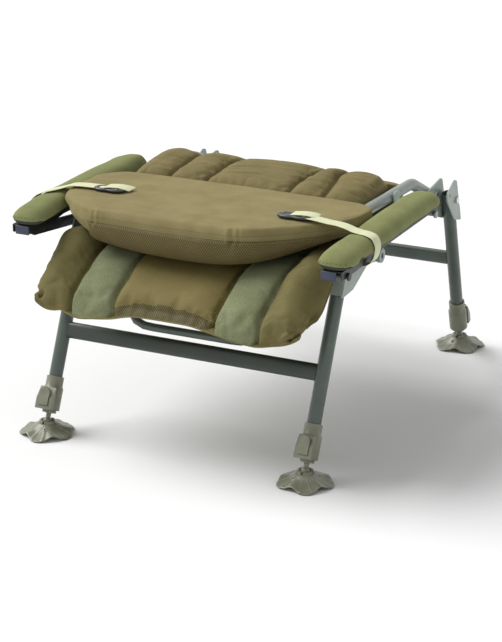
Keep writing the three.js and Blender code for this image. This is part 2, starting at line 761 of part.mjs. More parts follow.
// A lobed foot: a wavy plate that rises to a slotted ball socket.
function mudFoot(side, way, name) {
  const rimSteps = footLobes * lobeSteps;
  const socket = ballRadius + ballPlay;
  const rings = [
    [1, 0, 1], [1, footRim, 1], [footShoulderShare, footCrown, lobeFadeShare],
    [footWaistShare, footCrown + footRim, 0],
  ];
  const positions = [0, 0, 0];
  const index = [];
  rings.forEach(([share, height, wave]) => {
    for (let i = 0; i < rimSteps; i += 1) {
      const angle = (i / rimSteps) * Math.PI * 2;
      const lobe = Math.cos(angle * footLobes);
      const radius = footRadius * share - footLobeDepth * wave * (1 - lobe);
      const lift = height === 0 ? 0 : height + footLobeDepth * (1 - wave) * wave * lobe * footRippleShare;
      positions.push(radius * Math.cos(angle), radius * Math.sin(angle), lift);
    }
  });
  const top = positions.length / 3;
  positions.push(0, 0, footCrown + footRim);
  const last = 1 + (rings.length - 1) * rimSteps;
  for (let i = 0; i < rimSteps; i += 1) {
    const next = (i + 1) % rimSteps;
    index.push(0, 1 + next, 1 + i, top, last + i, last + next);
    for (let ring = 0; ring < rings.length - 1; ring += 1) {
      const low = 1 + ring * rimSteps;
      const high = low + rimSteps;
      index.push(low + i, low + next, high + next, low + i, high + next, high + i);
    }
  }
  const plate = new THREE.BufferGeometry();
  plate.setAttribute('position', new THREE.BufferAttribute(new Float32Array(positions), 3));
  plate.setIndex(index);
  const hub = turned([[0, footRim], [footHubRadius + footRim, footRim], [footHubRadius, footHubHeight],
    [0, footHubHeight]]);
  const ball = turned([[0, ballHeight - socket],
    ...arcPoints(socket, ballHeight, -Math.PI / 2, Math.PI / 2, ballSteps * 2).slice(0, -1),
    [0, ballHeight + socket]]);
  const slots = [0, Math.PI / 2].map((angle) => solid(new THREE.BoxGeometry(
    socketSlotWidth, footHubRadius * 2 + overrun * 2, socketSlotDepth + overrun)
    .rotateZ(angle).translate(0, 0, footHubHeight + overrun - (socketSlotDepth + overrun) / 2)));
  const foot = cut(join(solid(plate), solid(hub)), solid(ball), ...slots)
    .translate([side * legX, way * footY, 0]);
  place(chair, name, surface(foot), mouldedFoot);
}

// Backrest

// Where a side tube turns in, turns across and meets the top tube.
function headPoints(side) {
  return [[sideX, shoulderY], [backHeadHalf, backTop], [backCrossHalf, backTop]]
    .map(([x, y]) => new THREE.Vector3(side * x, y, backLevel));
}

function backTubePath(side) {
  const toPivot = new THREE.Vector3(0, backPivot.y - elbowBack.y, backPivot.z - elbowBack.z).normalize();
  const end = new THREE.Vector3(side * sideX, backPivot.y, backPivot.z).addScaledVector(toPivot, backTail);
  const elbow = new THREE.Vector3(side * sideX, elbowBack.y, elbowBack.z);
  const level = new THREE.Vector3(side * sideX, pillowRear + sideRadius, backLevel);
  return bentPath([end, elbow, level, ...headPoints(side)], [elbowBend, backCorner, backCorner, backCorner]);
}

function backTube(side, name) {
  const tube = solid(swept(backTubePath(side), sideRadius, tubeSides, backSteps));
  const reach = sideX + sideRadius;
  const hole = sideHole(side, reach - sideRadius * 2, reach, backPivot);
  place(chair, name, surface(cut(tube, hole)), powderCoat);
}

function backTopTube() {
  place(chair, 'backrest_top_tube',
    barX(sideRadius, -(backCrossHalf - seatGap), backCrossHalf - seatGap, backTop, backLevel), powderCoat);
}

// The lug on the backrest tube, with the pin that carries the armrest's rear end.
function armLug(side, name) {
  const near = sideX + sideRadius + seatGap;
  const far = armBaseOut + seatGap;
  const shape = wrapped([
    { y: armRear.y + lugSpread, z: backLevel, r: lugRadius },
    { y: armRear.y - lugSpread, z: backLevel, r: lugRadius },
    { ...armRear, r: lugRadius },
  ]);
  const parts = [
    solid(sideSlab(shape, side, near, near + plateThickness)),
    solid(sideBar(boltHeadRadius, side, near + plateThickness - overrun / 2, armBaseIn - seatGap, armRear)),
    bolt(side, armBaseIn - overrun, far, armRear, false),
  ];
  place(chair, name, surface(join(...parts)), pressedPlate);
}

function strapBuckle(side, name) {
  const shape = new THREE.Shape();
  const [long, wide] = [buckleLong / 2, buckleWide / 2];
  shape.moveTo(-long + buckleBar, -wide);
  shape.lineTo(long - buckleBar, -wide);
  shape.lineTo(long, -wide + buckleBar);
  shape.lineTo(long, wide - buckleBar);
  shape.lineTo(long - buckleBar, wide);
  shape.lineTo(-long + buckleBar, wide);
  shape.lineTo(-long, wide - buckleBar);
  shape.lineTo(-long, -wide + buckleBar);
  const slotLong = (buckleLong - 3 * buckleBar) / 2;
  const slots = [-1, 1].map((way) => solid(new THREE.BoxGeometry(
    slotLong, buckleWide - 2 * buckleBar, buckleThick + overrun * 2)
    .translate((way * (slotLong + buckleBar)) / 2, 0, buckleThick / 2)));
  const plate = solid(new THREE.ExtrudeGeometry(shape, { depth: buckleThick, bevelEnabled: false }));
  const body = cut(plate, ...slots).translate([side * buckleX, strapY, pillowTop + softGap]);
  place(chair, name, surface(body), blackNylon);
}

// Armrests

function armBase(side, name) {
  const side2D = (inset) => {
    const shape = new THREE.Shape();
    const [front, rear] = [armBaseFront + inset, armBaseRear - inset];
    const under = armBaseUnder - (inset > 0 ? armLobe + overrun * 2 : 0);
    shape.moveTo(front, under);
    shape.lineTo(rear, under);
    shape.lineTo(rear, armBaseTop - inset);
    shape.lineTo(front, armBaseTop - inset);
    return solid(sideSlab(shape, side, armBaseIn + inset, armBaseOut - inset));
  };
  const lobes = [armFront, armRear].map((at) => solid(sideBar(armLobe, side, armBaseIn, armBaseOut, at)));
  const trough = side2D(armBaseWall);
  const holes = [armFront, armRear].map((at) => sideHole(side, armBaseIn, armBaseOut, at));
  place(chair, name, surface(cut(join(side2D(0), ...lobes), trough, ...holes)), blackNylon);
}

function frontLink(side, name) {
  const plate = solid(sideSlab(wrapped([
    { ...armFront, r: linkEndRadius - seatGap },
    { ...linkPivot, r: linkEndRadius },
  ]), side, linkX, linkX + linkThickness));
  const eyeEnd = linkX + linkThickness + overrun;
  const eye = solid(sideBar(bossAxleRadius + boltPlay, side, linkX - overrun, eyeEnd, linkPivot));
  const pin = bolt(side, armBaseIn, armBaseOut + seatGap, armFront, false);
  place(chair, name, surface(join(cut(plate, eye), pin)), blackNylon);
}

// Padded cover of an armrest, drooping over the front of its base.
function armPad(side, name) {
  const across = mirroredShares(armAcrossShares);
  const long = armTail - armNose;
  const top = new THREE.SplineCurve(armTopShares.map(([share, rise]) => new THREE.Vector2(
    armNose + long * share, armPadUnder + armCrown * rise)));
  const skin = (u, v, sideways) => {
    const share = (v + 1) / 2;
    const y = armNose + long * share;
    const droop = (1 - smooth(armNose, armBaseFront - softGap, y)) * armNoseDrop;
    const rise = (top.getPoint(share).y - armPadUnder + droop) * fullness(u, 4) * fullness(v, 12);
    const wide = armUnderShare + (1 - armUnderShare) * smooth(0, armCrown / 2, sideways > 0 ? rise : 0);
    const narrow = wide * (1 - armTaperShare * Math.abs(v) ** 10);
    const z = armPadUnder - droop + (sideways > 0 ? rise : 0);
    return new THREE.Vector3(side * armX + armHalf * u * narrow, y, z);
  };
  place(chair, name, sewn(across, armAlongShares, skin), oliveCloth);
}

// Cushions

// The seat cushion: crowned, pressed hollow under the pillow, with two sewn strips, and rolling
// down over the front of the frame.
function seatCushion() {
  const { lerp } = THREE.MathUtils;
  const line = (shares) => new THREE.SplineCurve(shares.map(([along, up]) => (
    new THREE.Vector2(lerp(foldPlane, cushionNose, along), lerp(cushionLow, cushionHigh, up)))));
  const lines = {
    topMiddle: line(cushionTopMiddleShares),
    topSide: line(cushionTopSideShares),
    underMiddle: line(cushionUnderMiddleShares),
    underSide: line(cushionUnderSideShares),
  };
  const skin = (u, v, side) => {
    const share = (v + 1) / 2;
    const flare = smooth(cushionFlareFromShare, cushionFlareToShare, share);
    const tuck = smooth(cushionTuckFromShare, 1, share);
    const wide = THREE.MathUtils.lerp(cushionHalf, cushionFrontHalf, flare);
    const x = THREE.MathUtils.lerp(wide, cushionHemHalf, tuck) * u;
    const weight = smooth(cushionSeams[1], railInner + overrun, Math.abs(x));
    const top = lines.topMiddle.getPoint(share).lerp(lines.topSide.getPoint(share), weight);
    const under = lines.underMiddle.getPoint(share).lerp(lines.underSide.getPoint(share), weight);
    const middle = top.clone().lerp(under, 0.5);
    const seams = cushionSeams.reduce((sum, seam) => sum + dip(Math.abs(x) - seam, cushionSeamWidth), 0);
    const full = fullness(u, 10) * fullness(v, 10) * (1 - (side > 0 ? cushionSeamShare * seams : 0));
    const point = middle.lerp(side > 0 ? top : under, Math.abs(side) * full);
    const z = point.x > railFront ? Math.max(point.y, slingTop + seatGap) : point.y;
    return new THREE.Vector3(x, point.x, z);
  };
  const across = mirroredShares(cushionAcrossShares);
  place(chair, 'seat_cushion', sewn(across, cushionAlongShares, skin), khakiCloth);
}

// The back cushion between the backrest tubes, sewn into lengthwise channels.
function backPad() {
  const skin = (u, v, side) => {
    const share = (v + 1) / 2;
    const x = padHalf * u;
    const y = padFront + (foldPlane - padFront) * share;
    const fall = smooth(padFallFromShare, 1, share);
    const seams = padSeams.reduce((sum, seam) => sum + dip(Math.abs(x) - seam, padSeamWidth), 0);
    const up = padCrown * (1 - padSeamShare * seams) * (1 - padFallShare * fall);
    const seam = padSeamLevel - padRearDrop * fall;
    const full = fullness(u, 6) * fullness(v, 14);
    const under = padBelly * (1 - padBellyShare * fall);
    const stand = side > 0 ? up * full : Math.min(side, 0) * under * full;
    return new THREE.Vector3(x, y, seam + stand);
  };
  place(chair, 'back_pad', sewn(mirroredShares(padAcrossShares), padAlongShares, skin), khakiCloth);
}

// The pillow at the head of the backrest, a wedge with a pocket for the backrest's top.
function pillow() {
  const skin = (u, v, side) => {
    const share = (v + 1) / 2;
    const front = pillowFront + pillowSweep * Math.abs(u) ** 3;
    const y = THREE.MathUtils.lerp(pillowRear, front, share);
    const x = pillowHalf * u;
    const full = fullness(u, 5) * (share > 0.5 ? fullness(v, 8) : fullness(v, 20));
    const belly = THREE.MathUtils.lerp(pillowThinBelly, pillowBelly, smooth(0, 1, share));
    const down = belly * (1 - pillowEndShare * Math.abs(u) ** 4);
    const stand = side > 0 ? pillowCrown * full : Math.min(side, 0) * down * full;
    return new THREE.Vector3(x, y, pillowSeamLevel + stand);
  };
  const form = solid(sewn(mirroredShares(pillowAcrossShares), pillowAlongShares, skin));
  const pocketRadius = sideRadius + pocketPlay;
  const pocket = [-1, 1].map((side) => (
    solid(swept(pillowPocketPath(side), pocketRadius, tubeSides, pocketSteps))));
  const barHalf = backCrossHalf + overrun;
  const bar = solid(barX(pocketRadius, -barHalf, barHalf, backTop, backLevel));
  place(chair, 'pillow', surface(cut(form, ...pocket, bar)), khakiCloth);
}

function pillowPocketPath(side) {
  const start = new THREE.Vector3(side * sideX, pillowRear + sideRadius, backLevel);
  return bentPath([start, ...headPoints(side)], [backCorner, backCorner]);
}

// The roll where the seat cushion turns up behind the hinge into the back cushion.
function foldRoll() {
  const skin = (u, v, side) => {
    const full = fullness(u, 6) * fullness(v, 2);
    const back = foldPlane + seatGap + (side > 0 ? rollDepth * full : 0);
    return new THREE.Vector3(rollHalf * u, back, seatHeight + rollTall * v);
  };
  place(chair, 'fold_roll', sewn(mirroredShares(rollAcrossShares), mirroredShares(rollAlongShares), skin),
    khakiCloth);
}

// The holding strap: from under the armrest, round its outer side and over it to the buckle.
function strap(side, name) {
  const line = [
    [strapEnd, armBaseUnder - strapThickness],
    [armBaseOut + strapThickness, armBaseUnder - strapThickness],
    [armX + armHalf + overrun, armPadUnder - strapThickness],
    [armX + armHalf + overrun, armPadUnder + armCrown * strapShoulderShare],
    [armX + armHalf * strapShoulderShare, armPadUnder + armCrown + overrun],
    [armX - armHalf * strapShoulderShare, armPadUnder + armCrown + overrun],
    [sideX, pillowTop + softGap + strapThickness / 2],
    [buckleX + buckleLong / 2 + seatGap, pillowTop + softGap + strapThickness / 2],
  ].map(([x, z]) => new THREE.Vector2(side * x, z));
  place(chair, name, band(ribbon(line, strapThickness), strapY - strapWidth / 2, strapY + strapWidth / 2),
    webbing);
}

// The outline of a flat strip that follows a line of points.
function ribbon(line, thickness) {
  const offset = (way) => line.map((point, i) => {
    const before = line[Math.max(i - 1, 0)];
    const after = line[Math.min(i + 1, line.length - 1)];
    const into = point.clone().sub(before).normalize();
    const out = after.clone().sub(point).normalize();
    const along = into.add(out).normalize();
    return new THREE.Vector2(-along.y, along.x).multiplyScalar((way * thickness) / 2).add(point);
  });
  return new THREE.Shape([...offset(1), ...offset(-1).reverse()]);
}

// Assembly

const sides = [[-1, 'left'], [1, 'right']];

for (const [side, hand] of sides) {
  seatRail(side, `seat_rail_${hand}`);
  frontBracket(side, `leg_bracket_front_${hand}`);
  rearBracket(side, `leg_bracket_rear_${hand}`);
  legBolt(side, frontPivot, `leg_bolt_front_${hand}`);
  legBolt(side, rearPivot, `leg_bolt_rear_${hand}`);
  linkBoss(side, `link_boss_${hand}`);
  backTube(side, `backrest_tube_${hand}`);
  backBolt(side, `backrest_bolt_${hand}`);
  armLug(side, `armrest_lug_${hand}`);
  armBase(side, `armrest_base_${hand}`);
  armPad(side, `armrest_pad_${hand}`);
  frontLink(side, `front_link_${hand}`);
  strapBuckle(side, `strap_buckle_${hand}`);
  strap(side, `holding_strap_${hand}`);
}
crossTube(frontTube, 'seat_front_tube');
crossTube(rearTube, 'seat_rear_tube');
frontHoop();
seatSling();
backTopTube();
seatCushion();
backPad();
pillow();
foldRoll();

const frames = [
  { end: 'front', way: -1, pivot: frontPivot, lean: frontLean, reach: frontReach, bar: frontBarHeight },
  { end: 'rear', way: 1, pivot: rearPivot, lean: rearLean, reach: rearReach, bar: rearBarHeight },
];
for (const { end, way, pivot, lean, reach, bar } of frames) {
  const group = leaned(pivot, lean, way);
  crossbar(group, (pivot.z - bar) / Math.cos(lean), `${end}_crossbar`);
  for (const [side, hand] of sides) {
    outerLeg(group, side, reach, `${end}_leg_${hand}`);
    lockCollar(group, side, reach, way, `lock_collar_${end}_${hand}`);
    lockTab(group, side, reach, way, `lock_tab_${end}_${hand}`);
    innerLeg(group, side, reach, `inner_leg_${end}_${hand}`);
    mudFoot(side, way, `mud_foot_${end}_${hand}`);
  }
}

export default chair;
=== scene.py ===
# A folding fishing chair, shown folded: its finishes, sewn cushions and straps, light and camera.
# Lengths below are millimetres unless they say otherwise; +Z is up and the chair faces -Y.
import json
import math

import bmesh
import bpy
import numpy as np
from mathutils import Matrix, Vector

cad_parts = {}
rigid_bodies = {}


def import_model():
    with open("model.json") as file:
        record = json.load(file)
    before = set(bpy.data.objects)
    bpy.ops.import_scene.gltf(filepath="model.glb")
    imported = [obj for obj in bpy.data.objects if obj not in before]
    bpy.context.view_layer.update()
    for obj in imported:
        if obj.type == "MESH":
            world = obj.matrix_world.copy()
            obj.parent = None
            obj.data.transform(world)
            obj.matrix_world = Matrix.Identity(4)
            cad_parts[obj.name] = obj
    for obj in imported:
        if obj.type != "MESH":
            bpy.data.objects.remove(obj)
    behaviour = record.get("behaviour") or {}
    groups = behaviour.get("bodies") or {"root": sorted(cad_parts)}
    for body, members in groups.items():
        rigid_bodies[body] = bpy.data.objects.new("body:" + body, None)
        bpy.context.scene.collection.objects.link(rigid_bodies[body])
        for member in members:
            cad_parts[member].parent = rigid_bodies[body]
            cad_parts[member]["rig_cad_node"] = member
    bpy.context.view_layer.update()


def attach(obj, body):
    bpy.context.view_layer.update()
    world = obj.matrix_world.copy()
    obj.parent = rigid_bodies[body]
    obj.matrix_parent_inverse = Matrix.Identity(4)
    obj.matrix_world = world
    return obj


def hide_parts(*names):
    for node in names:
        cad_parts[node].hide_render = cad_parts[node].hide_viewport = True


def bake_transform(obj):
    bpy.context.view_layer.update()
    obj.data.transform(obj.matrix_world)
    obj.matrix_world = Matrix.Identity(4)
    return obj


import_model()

MM = 0.001

# ---------------------------------------------------------------- camera

CAMERA_TARGET = Vector((-39.1, 19.5, 121.7)) * MM
CAMERA_AZIMUTH, CAMERA_ELEVATION = 25.88, 19.66
CAMERA_DISTANCE = 3852 * MM
CAMERA_LENS = 112.15


def place_camera():
    across, up = math.radians(CAMERA_AZIMUTH), math.radians(CAMERA_ELEVATION)
    away = Vector((math.sin(across) * math.cos(up), -math.cos(across) * math.cos(up), math.sin(up)))
    data = bpy.data.cameras.new("studio_camera")
    data.lens = CAMERA_LENS
    data.sensor_width = 36
    data.clip_start, data.clip_end = 0.05, 60
    camera = bpy.data.objects.new("studio_camera", data)
    camera.location = CAMERA_TARGET + away * CAMERA_DISTANCE
    camera.rotation_euler = (-away).to_track_quat("-Z", "Y").to_euler()
    bpy.context.collection.objects.link(camera)
    bpy.context.scene.camera = camera


place_camera()
bpy.context.scene.view_settings.view_transform = "Standard"

# ---------------------------------------------------------------- sizes shared with the solids

SEAT_HEIGHT = 350                 # middle of the side rails
RAIL_X = 229.9
TUBE_RADIUS = 11
RAIL_INNER = RAIL_X - TUBE_RADIUS
FOLD_PLANE = 150                  # where the two cushions meet, in front of the hinge
ARM_X = 300                       # middle line of an armrest
ARM_HALF = 32
ARM_BASE_HALF = 18
ARM_PAD_UNDER = 388.4
SLING_LOW = 317.5                 # top of the sling between the rails
SIDES = ("left", "right")
CORNERS = ("front_left", "front_right", "rear_left", "rear_right")

# ---------------------------------------------------------------- colour and node helpers


def linear(code):
    """An sRGB hex code as linear red, green, blue and alpha."""
    parts = [int(code[i:i + 2], 16) / 255 for i in (1, 3, 5)]
    return (*(p / 12.92 if p <= 0.04045 else ((p + 0.055) / 1.055) ** 2.4 for p in parts), 1.0)


def grey(level):
    return (level, level, level, 1.0)


def feed(tree, node, inputs):
    """Sets a value or makes a link on each named input; a node given there lends its first output."""
    for name, value in inputs.items():
        if isinstance(value, bpy.types.Node):
            value = value.outputs[0]
        if isinstance(value, bpy.types.NodeSocket):
            tree.links.new(value, node.inputs[name])
        else:
            node.inputs[name].default_value = value


def add(tree, kind, inputs=None, stops=(), **settings):
    """A new node of that kind, with its settings, its stops of (place, colour), and its inputs."""
    made = tree.nodes.new(kind)
    for name, value in settings.items():
        setattr(made, name, value)
    if stops:
        bar = made.color_ramp.elements
        while len(bar) < len(stops):
            bar.new(0.5)
        for element, (place, colour) in zip(bar, stops):
            element.position, element.color = place, colour
    feed(tree, made, inputs or {})
    return made


def new_finish(name):
    """An empty material, with its tree and its shader."""
    made = bpy.data.materials.new(name)
    made.use_nodes = True
    tree = made.node_tree
    tree.nodes.clear()
    shader = add(tree, "ShaderNodeBsdfPrincipled")
    add(tree, "ShaderNodeOutputMaterial", {"Surface": shader})
    return made, tree, shader


def cloudy(tree, millimetres, detail=3.0, roughness=0.55, where=None):
    """Blotches about that many millimetres across, in the piece's own space unless told where."""
    if where is None:
        where = add(tree, "ShaderNodeTexCoord").outputs["Object"]
    return add(tree, "ShaderNodeTexNoise", {"Vector": where, "Scale": 1 / (millimetres * MM),
                                            "Detail": detail, "Roughness": roughness})


def worn(tree, millimetres, low, high, start=0.3):
    """A roughness that wanders between two levels in blotches about that many millimetres across."""
    return add(tree, "ShaderNodeValToRGB", {"Fac": cloudy(tree, millimetres)},
               stops=[(start, grey(low)), (0.7, grey(high))])


def layered(tree, one, one_share, other, other_share):
    """Two patterns laid over each other, each with its own weight."""
    under = add(tree, "ShaderNodeMath", {0: other, 1: other_share}, operation="MULTIPLY")
    return add(tree, "ShaderNodeMath", {0: one, 1: one_share, 2: under}, operation="MULTIPLY_ADD")


def rows_of_thread(tree, coordinate, millimetres):
    """A smooth wave from 0 to 1 along one coordinate in metres, once for each thread."""
    turn = add(tree, "ShaderNodeMath", {0: coordinate, 1: 2 * math.pi / (millimetres * MM)},
               operation="MULTIPLY")
    wave = add(tree, "ShaderNodeMath", {0: turn}, operation="SINE")
    return add(tree, "ShaderNodeMath", {0: wave, 1: 0.5, 2: 0.5}, operation="MULTIPLY_ADD")


def crossed_threads(tree, one, other, millimetres):
    """Rows of thread along two coordinates, high only where both are."""
    rows = {k: rows_of_thread(tree, place, millimetres) for k, place in enumerate((one, other))}
    return add(tree, "ShaderNodeMath", rows, operation="MULTIPLY")


def cloth_lines(tree):
    """Places along and across the cloth in metres, from its own flat layout."""
    split = add(tree, "ShaderNodeSeparateXYZ", {"Vector": add(tree, "ShaderNodeUVMap", uv_map="cloth")})
    return split.outputs["X"], split.outputs["Y"]


def complete(tree, shader, colour, relief, look):
    """Gives a shader its colour, which is a pattern and its stops of (place, hex code), its relief,
    which is a pattern with its depth in mm and its strength, and the rest of its look."""
    (pattern, *stops), (height, depth, strength) = colour, relief
    feed(tree, shader, {
        "Base Color": add(tree, "ShaderNodeValToRGB", {"Fac": pattern},
                          stops=[(place, linear(code)) for place, code in stops]),
        "Normal": add(tree, "ShaderNodeBump",
                      {"Height": height, "Distance": depth * MM, "Strength": strength}),
        **look})


# ---------------------------------------------------------------- hard materials


def painted_steel(name, low, high, roughness):
    """Powder-coated steel: the faint orange peel breaks its highlight, and rubbed spots shine a little."""
    made, tree, shader = new_finish(name)
    complete(tree, shader, (cloudy(tree, 60), (0.3, low), (0.7, high)), (cloudy(tree, 1.6, 2.0), 0.05, 0.6),
             {"Roughness": worn(tree, 9, roughness - 0.06, roughness + 0.08, 0.35),
              "Coat Weight": 0.25, "Coat Roughness": 0.22})
    return made


def moulded_plastic(name, low, high, roughness, grain=0.9):
    """Injection-moulded polymer: slightly cloudy colour under a spark-eroded grain, which is drawn
    coarser than the real 0.1 mm so that it shows."""
    made, tree, shader = new_finish(name)
    complete(tree, shader, (cloudy(tree, 22), (0.3, low), (0.7, high)), (cloudy(tree, grain, 2.0), 0.06, 0.7),
             {"Roughness": worn(tree, 5, roughness - 0.07, roughness + 0.08), "IOR": 1.5})
    return made


def plated_steel(name, low, high):
    """Zinc-plated steel: bright bolt heads with dull specks that break the reflection."""
    made, tree, shader = new_finish(name)
    complete(tree, shader, (cloudy(tree, 4), (0.3, low), (0.7, high)), (cloudy(tree, 1.0), 0.03, 0.5),
             {"Metallic": 1.0, "Roughness": worn(tree, 2, 0.2, 0.38)})
    return made


# Powder coat: one satin grey-green paint, with light and shade painted into four tones: paler as painted
# light on the frame and the pressed brackets, which face up, a tone darker as painted shade on the legs, and
# near black as painted shade on the front crossbar.
TOP_LIT_FRAME_PAINT = painted_steel("grey_green_frame_paint_painted_light", "#77817a", "#8b958e", 0.4)
SHADED_LEG_PAINT = painted_steel("grey_green_leg_paint_painted_shade", "#434e47", "#515d55", 0.36)
# Painted shade: the front crossbar has the legs' powder coat, drawn near black.
SHADED_CROSSBAR_PAINT = painted_steel("crossbar_paint_with_painted_shade", "#252d27", "#303a32", 0.42)
TOP_LIT_BRACKET_PAINT = painted_steel("bracket_paint_painted_light", "#89958e", "#9ba69f", 0.46)
# Glass-filled nylon and acetal: putty grey on feet and locks, dull black and navy on the armrests.
FOOT_POLYMER = moulded_plastic("moulded_foot_polymer", "#767765", "#888976", 0.33)
BLACK_NYLON = moulded_plastic("black_armrest_nylon", "#17181b", "#222428", 0.42)
BUCKLE_PLASTIC = moulded_plastic("buckle_plastic", "#24272a", "#33373a", 0.34, 1.2)
NAVY_BLOCK = moulded_plastic("navy_hinge_block", "#2f3448", "#3b4158", 0.4)
# Bright zinc, the only bare metal on the chair.
BOLT_ZINC = plated_steel("zinc_plated_bolt", "#b9bcbf", "#dfe1e2")

# ---------------------------------------------------------------- cloth materials


def brushed_cloth(name, low, high, thread=0.9, sheen=0.35):
    """Peach-skin microfibre: a brushed nap over a tight weave, matt with a soft pale edge. The threads
    are drawn near 1 mm, coarser than the real 0.2 mm, so that they show."""
    made, tree, shader = new_finish(name)
    along, across = cloth_lines(tree)
    nap = cloudy(tree, 2.2, 4.0, 0.7)
    rubbed = layered(tree, cloudy(tree, 45, 4.0), 0.55, nap, 0.45)
    weave = crossed_threads(tree, along, across, thread)
    skin = layered(tree, weave, 0.5, nap, 0.9)
    complete(tree, shader, (rubbed, (0.36, low), (0.64, high)), (skin, 0.18, 0.8),
             {"Roughness": 0.88, "Specular IOR Level": 0.25,
              "Sheen Weight": sheen, "Sheen Roughness": 0.45, "Sheen Tint": linear(high)})
    return made


def spacer_mesh(name, hole, thread, painted_shine, pitch=3.6):
    """Polyester air mesh: bright threads round dark holes set in diamonds, with a painted highlight on the
    crossings of the threads.
    The pitch is coarser than the real 2 mm, so that the holes show."""
    made, tree, shader = new_finish(name)
    along, across = cloth_lines(tree)
    rising, falling = (layered(tree, along, 1.0, across, lean) for lean in (1.0, -1.0))
    knot = crossed_threads(tree, rising, falling, pitch)
    threads_and_blotches = layered(tree, knot, 0.8, cloudy(tree, 30), 0.25)
    # The third stop is a painted highlight on the thread crossings.
    complete(tree, shader, (threads_and_blotches, (0.16, hole), (0.42, thread), (0.85, painted_shine)), (knot, 0.5, 0.7),
             {"Roughness": 0.72, "Specular IOR Level": 0.35,
              "Sheen Weight": 0.25, "Sheen Tint": linear(painted_shine)})
    return made


def velour(name, low, high):
    """Short-pile velour: soft blotches where the pile leans, and a strong pale sheen. The pile is drawn
    at 3.4 mm, coarser than real pile, so that it shows."""
    made, tree, shader = new_finish(name)
    pile = cloudy(tree, 3.4, 4.0, 0.8)
    leaning = layered(tree, cloudy(tree, 40, 3.0, 0.5), 0.4, pile, 0.6)
    complete(tree, shader, (leaning, (0.34, low), (0.66, high)), (pile, 0.35, 0.9),
             {"Roughness": 0.95, "Specular IOR Level": 0.1,
              "Sheen Weight": 0.6, "Sheen Roughness": 0.35, "Sheen Tint": linear(high)})
    return made


def woven_tape(name, low, high):
    """Woven polyester tape: fine ribs along its length, crossed by shallow picks. Both are drawn near
    1.5 mm, coarser than the real 0.5 mm, so that they show."""
    made, tree, shader = new_finish(name)
    along, across = cloth_lines(tree)
    ribs, picks = rows_of_thread(tree, across, 1.8), rows_of_thread(tree, along, 1.3)
    flat = add(tree, "ShaderNodeUVMap", uv_map="cloth").outputs["UV"]
    threads_and_blotches = layered(tree, ribs, 0.45, cloudy(tree, 12, where=flat), 0.55)
    skin = layered(tree, ribs, 1.0, picks, 0.6)
    complete(tree, shader, (threads_and_blotches, (0.25, low), (0.75, high)), (skin, 0.2, 0.8),
             {"Roughness": 0.8, "Specular IOR Level": 0.3, "Sheen Weight": 0.2})
    return made


# Peach skin: khaki on the pillow, browner on the seat and back, green on the armrests.
PILLOW_CLOTH = brushed_cloth("khaki_peach_skin", "#82774f", "#948960")
SEAT_CLOTH = brushed_cloth("brown_peach_skin", "#686039", "#787048")
PAD_CLOTH = brushed_cloth("olive_brown_peach_skin", "#716742", "#82774f")
ARM_CLOTH = brushed_cloth("olive_armrest_cover", "#7a7e50", "#8b8f60", 1.1)
# Plain-weave bindings and sling: flatter to the eye than the covers that they edge or carry.
ARM_TRIM = brushed_cloth("dark_armrest_binding", "#33382b", "#41463a", 1.1, 0.15)
HEM_TAPE = brushed_cloth("pale_hem_binding", "#726a44", "#827a52", 1.2)
SLING_CLOTH = brushed_cloth("dark_sling_cloth", "#3d3a2b", "#4a4635", 1.4, 0.15)
# Air mesh: brown under the pillow, golden on the seat, and the same golden mesh drawn near black-brown as
# painted shade along the seat's front.
PILLOW_MESH = spacer_mesh("khaki_air_mesh", "#4a4021", "#6f633c", "#85784c", 4.2)
GOLD_MESH = spacer_mesh("golden_air_mesh", "#635930", "#8a7c48", "#9f9158")
SHADED_GOLD_MESH = spacer_mesh("golden_air_mesh_painted_shade", "#3d371c", "#696038", "#827750", 4.4)
# Velour: the two sage strips, the softest and palest thing on the seat.
SAGE_VELOUR = velour("sage_velour_strip", "#737858", "#8f9473")
# Tape and thread: pale straps with ribs, and dark stitches.
STRAP_TAPE = woven_tape("pale_strap_tape", "#d8dcae", "#ecefc8")
THREAD = woven_tape("dark_stitch_thread", "#3f3a20", "#55502f")

# ---------------------------------------------------------------- finishes of the hard pieces

FINISHES = [
    (TOP_LIT_FRAME_PAINT, [""], ["seat_front_tube", "seat_rear_tube", "backrest_top_tube"]),
    (TOP_LIT_FRAME_PAINT, SIDES, ["seat_rail", "backrest_tube"]),
    (SHADED_LEG_PAINT, [""], ["front_hoop", "rear_crossbar"]),
    (SHADED_LEG_PAINT, SIDES, ["front_leg", "rear_leg"]),
    (SHADED_CROSSBAR_PAINT, [""], ["front_crossbar"]),
    (TOP_LIT_BRACKET_PAINT, CORNERS, ["leg_bracket"]),
    (TOP_LIT_BRACKET_PAINT, SIDES, ["link_boss", "armrest_lug"]),
    (BOLT_ZINC, CORNERS, ["leg_bolt"]),
    (BOLT_ZINC, SIDES, ["backrest_bolt"]),
    (FOOT_POLYMER, CORNERS, ["inner_leg", "lock_collar", "lock_tab"]),
    (BUCKLE_PLASTIC, SIDES, ["strap_buckle"]),
    (BLACK_NYLON, SIDES, ["front_link"]),
]


def node_object(name):
    return next(o for o in bpy.data.objects if o.get("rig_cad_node") == name)


def soften(made, radius):
    """Gives a piece's edges the small radius that catches the light."""
    edge = made.modifiers.new("soft_edges", "BEVEL")
    edge.limit_method = "ANGLE"
    edge.angle_limit = math.radians(40)
    edge.width = radius * MM
    edge.segments = 2
    edge.harden_normals = True


def dress(name, finish):
    """Paints a CAD node, smooths its round faces and gives its edges the small radius a real part has."""
    shown = node_object(name)
    shown.data.materials.clear()
    shown.data.materials.append(finish)
    if "custom_normal" in shown.data.attributes:
        shown.data.attributes.remove(shown.data.attributes["custom_normal"])
    shown.data.polygons.foreach_set("use_smooth", [True] * len(shown.data.polygons))
    joined = shown.modifiers.new("one_skin", "WELD")
    joined.merge_threshold = 0.02 * MM
    soften(shown, 0.5)


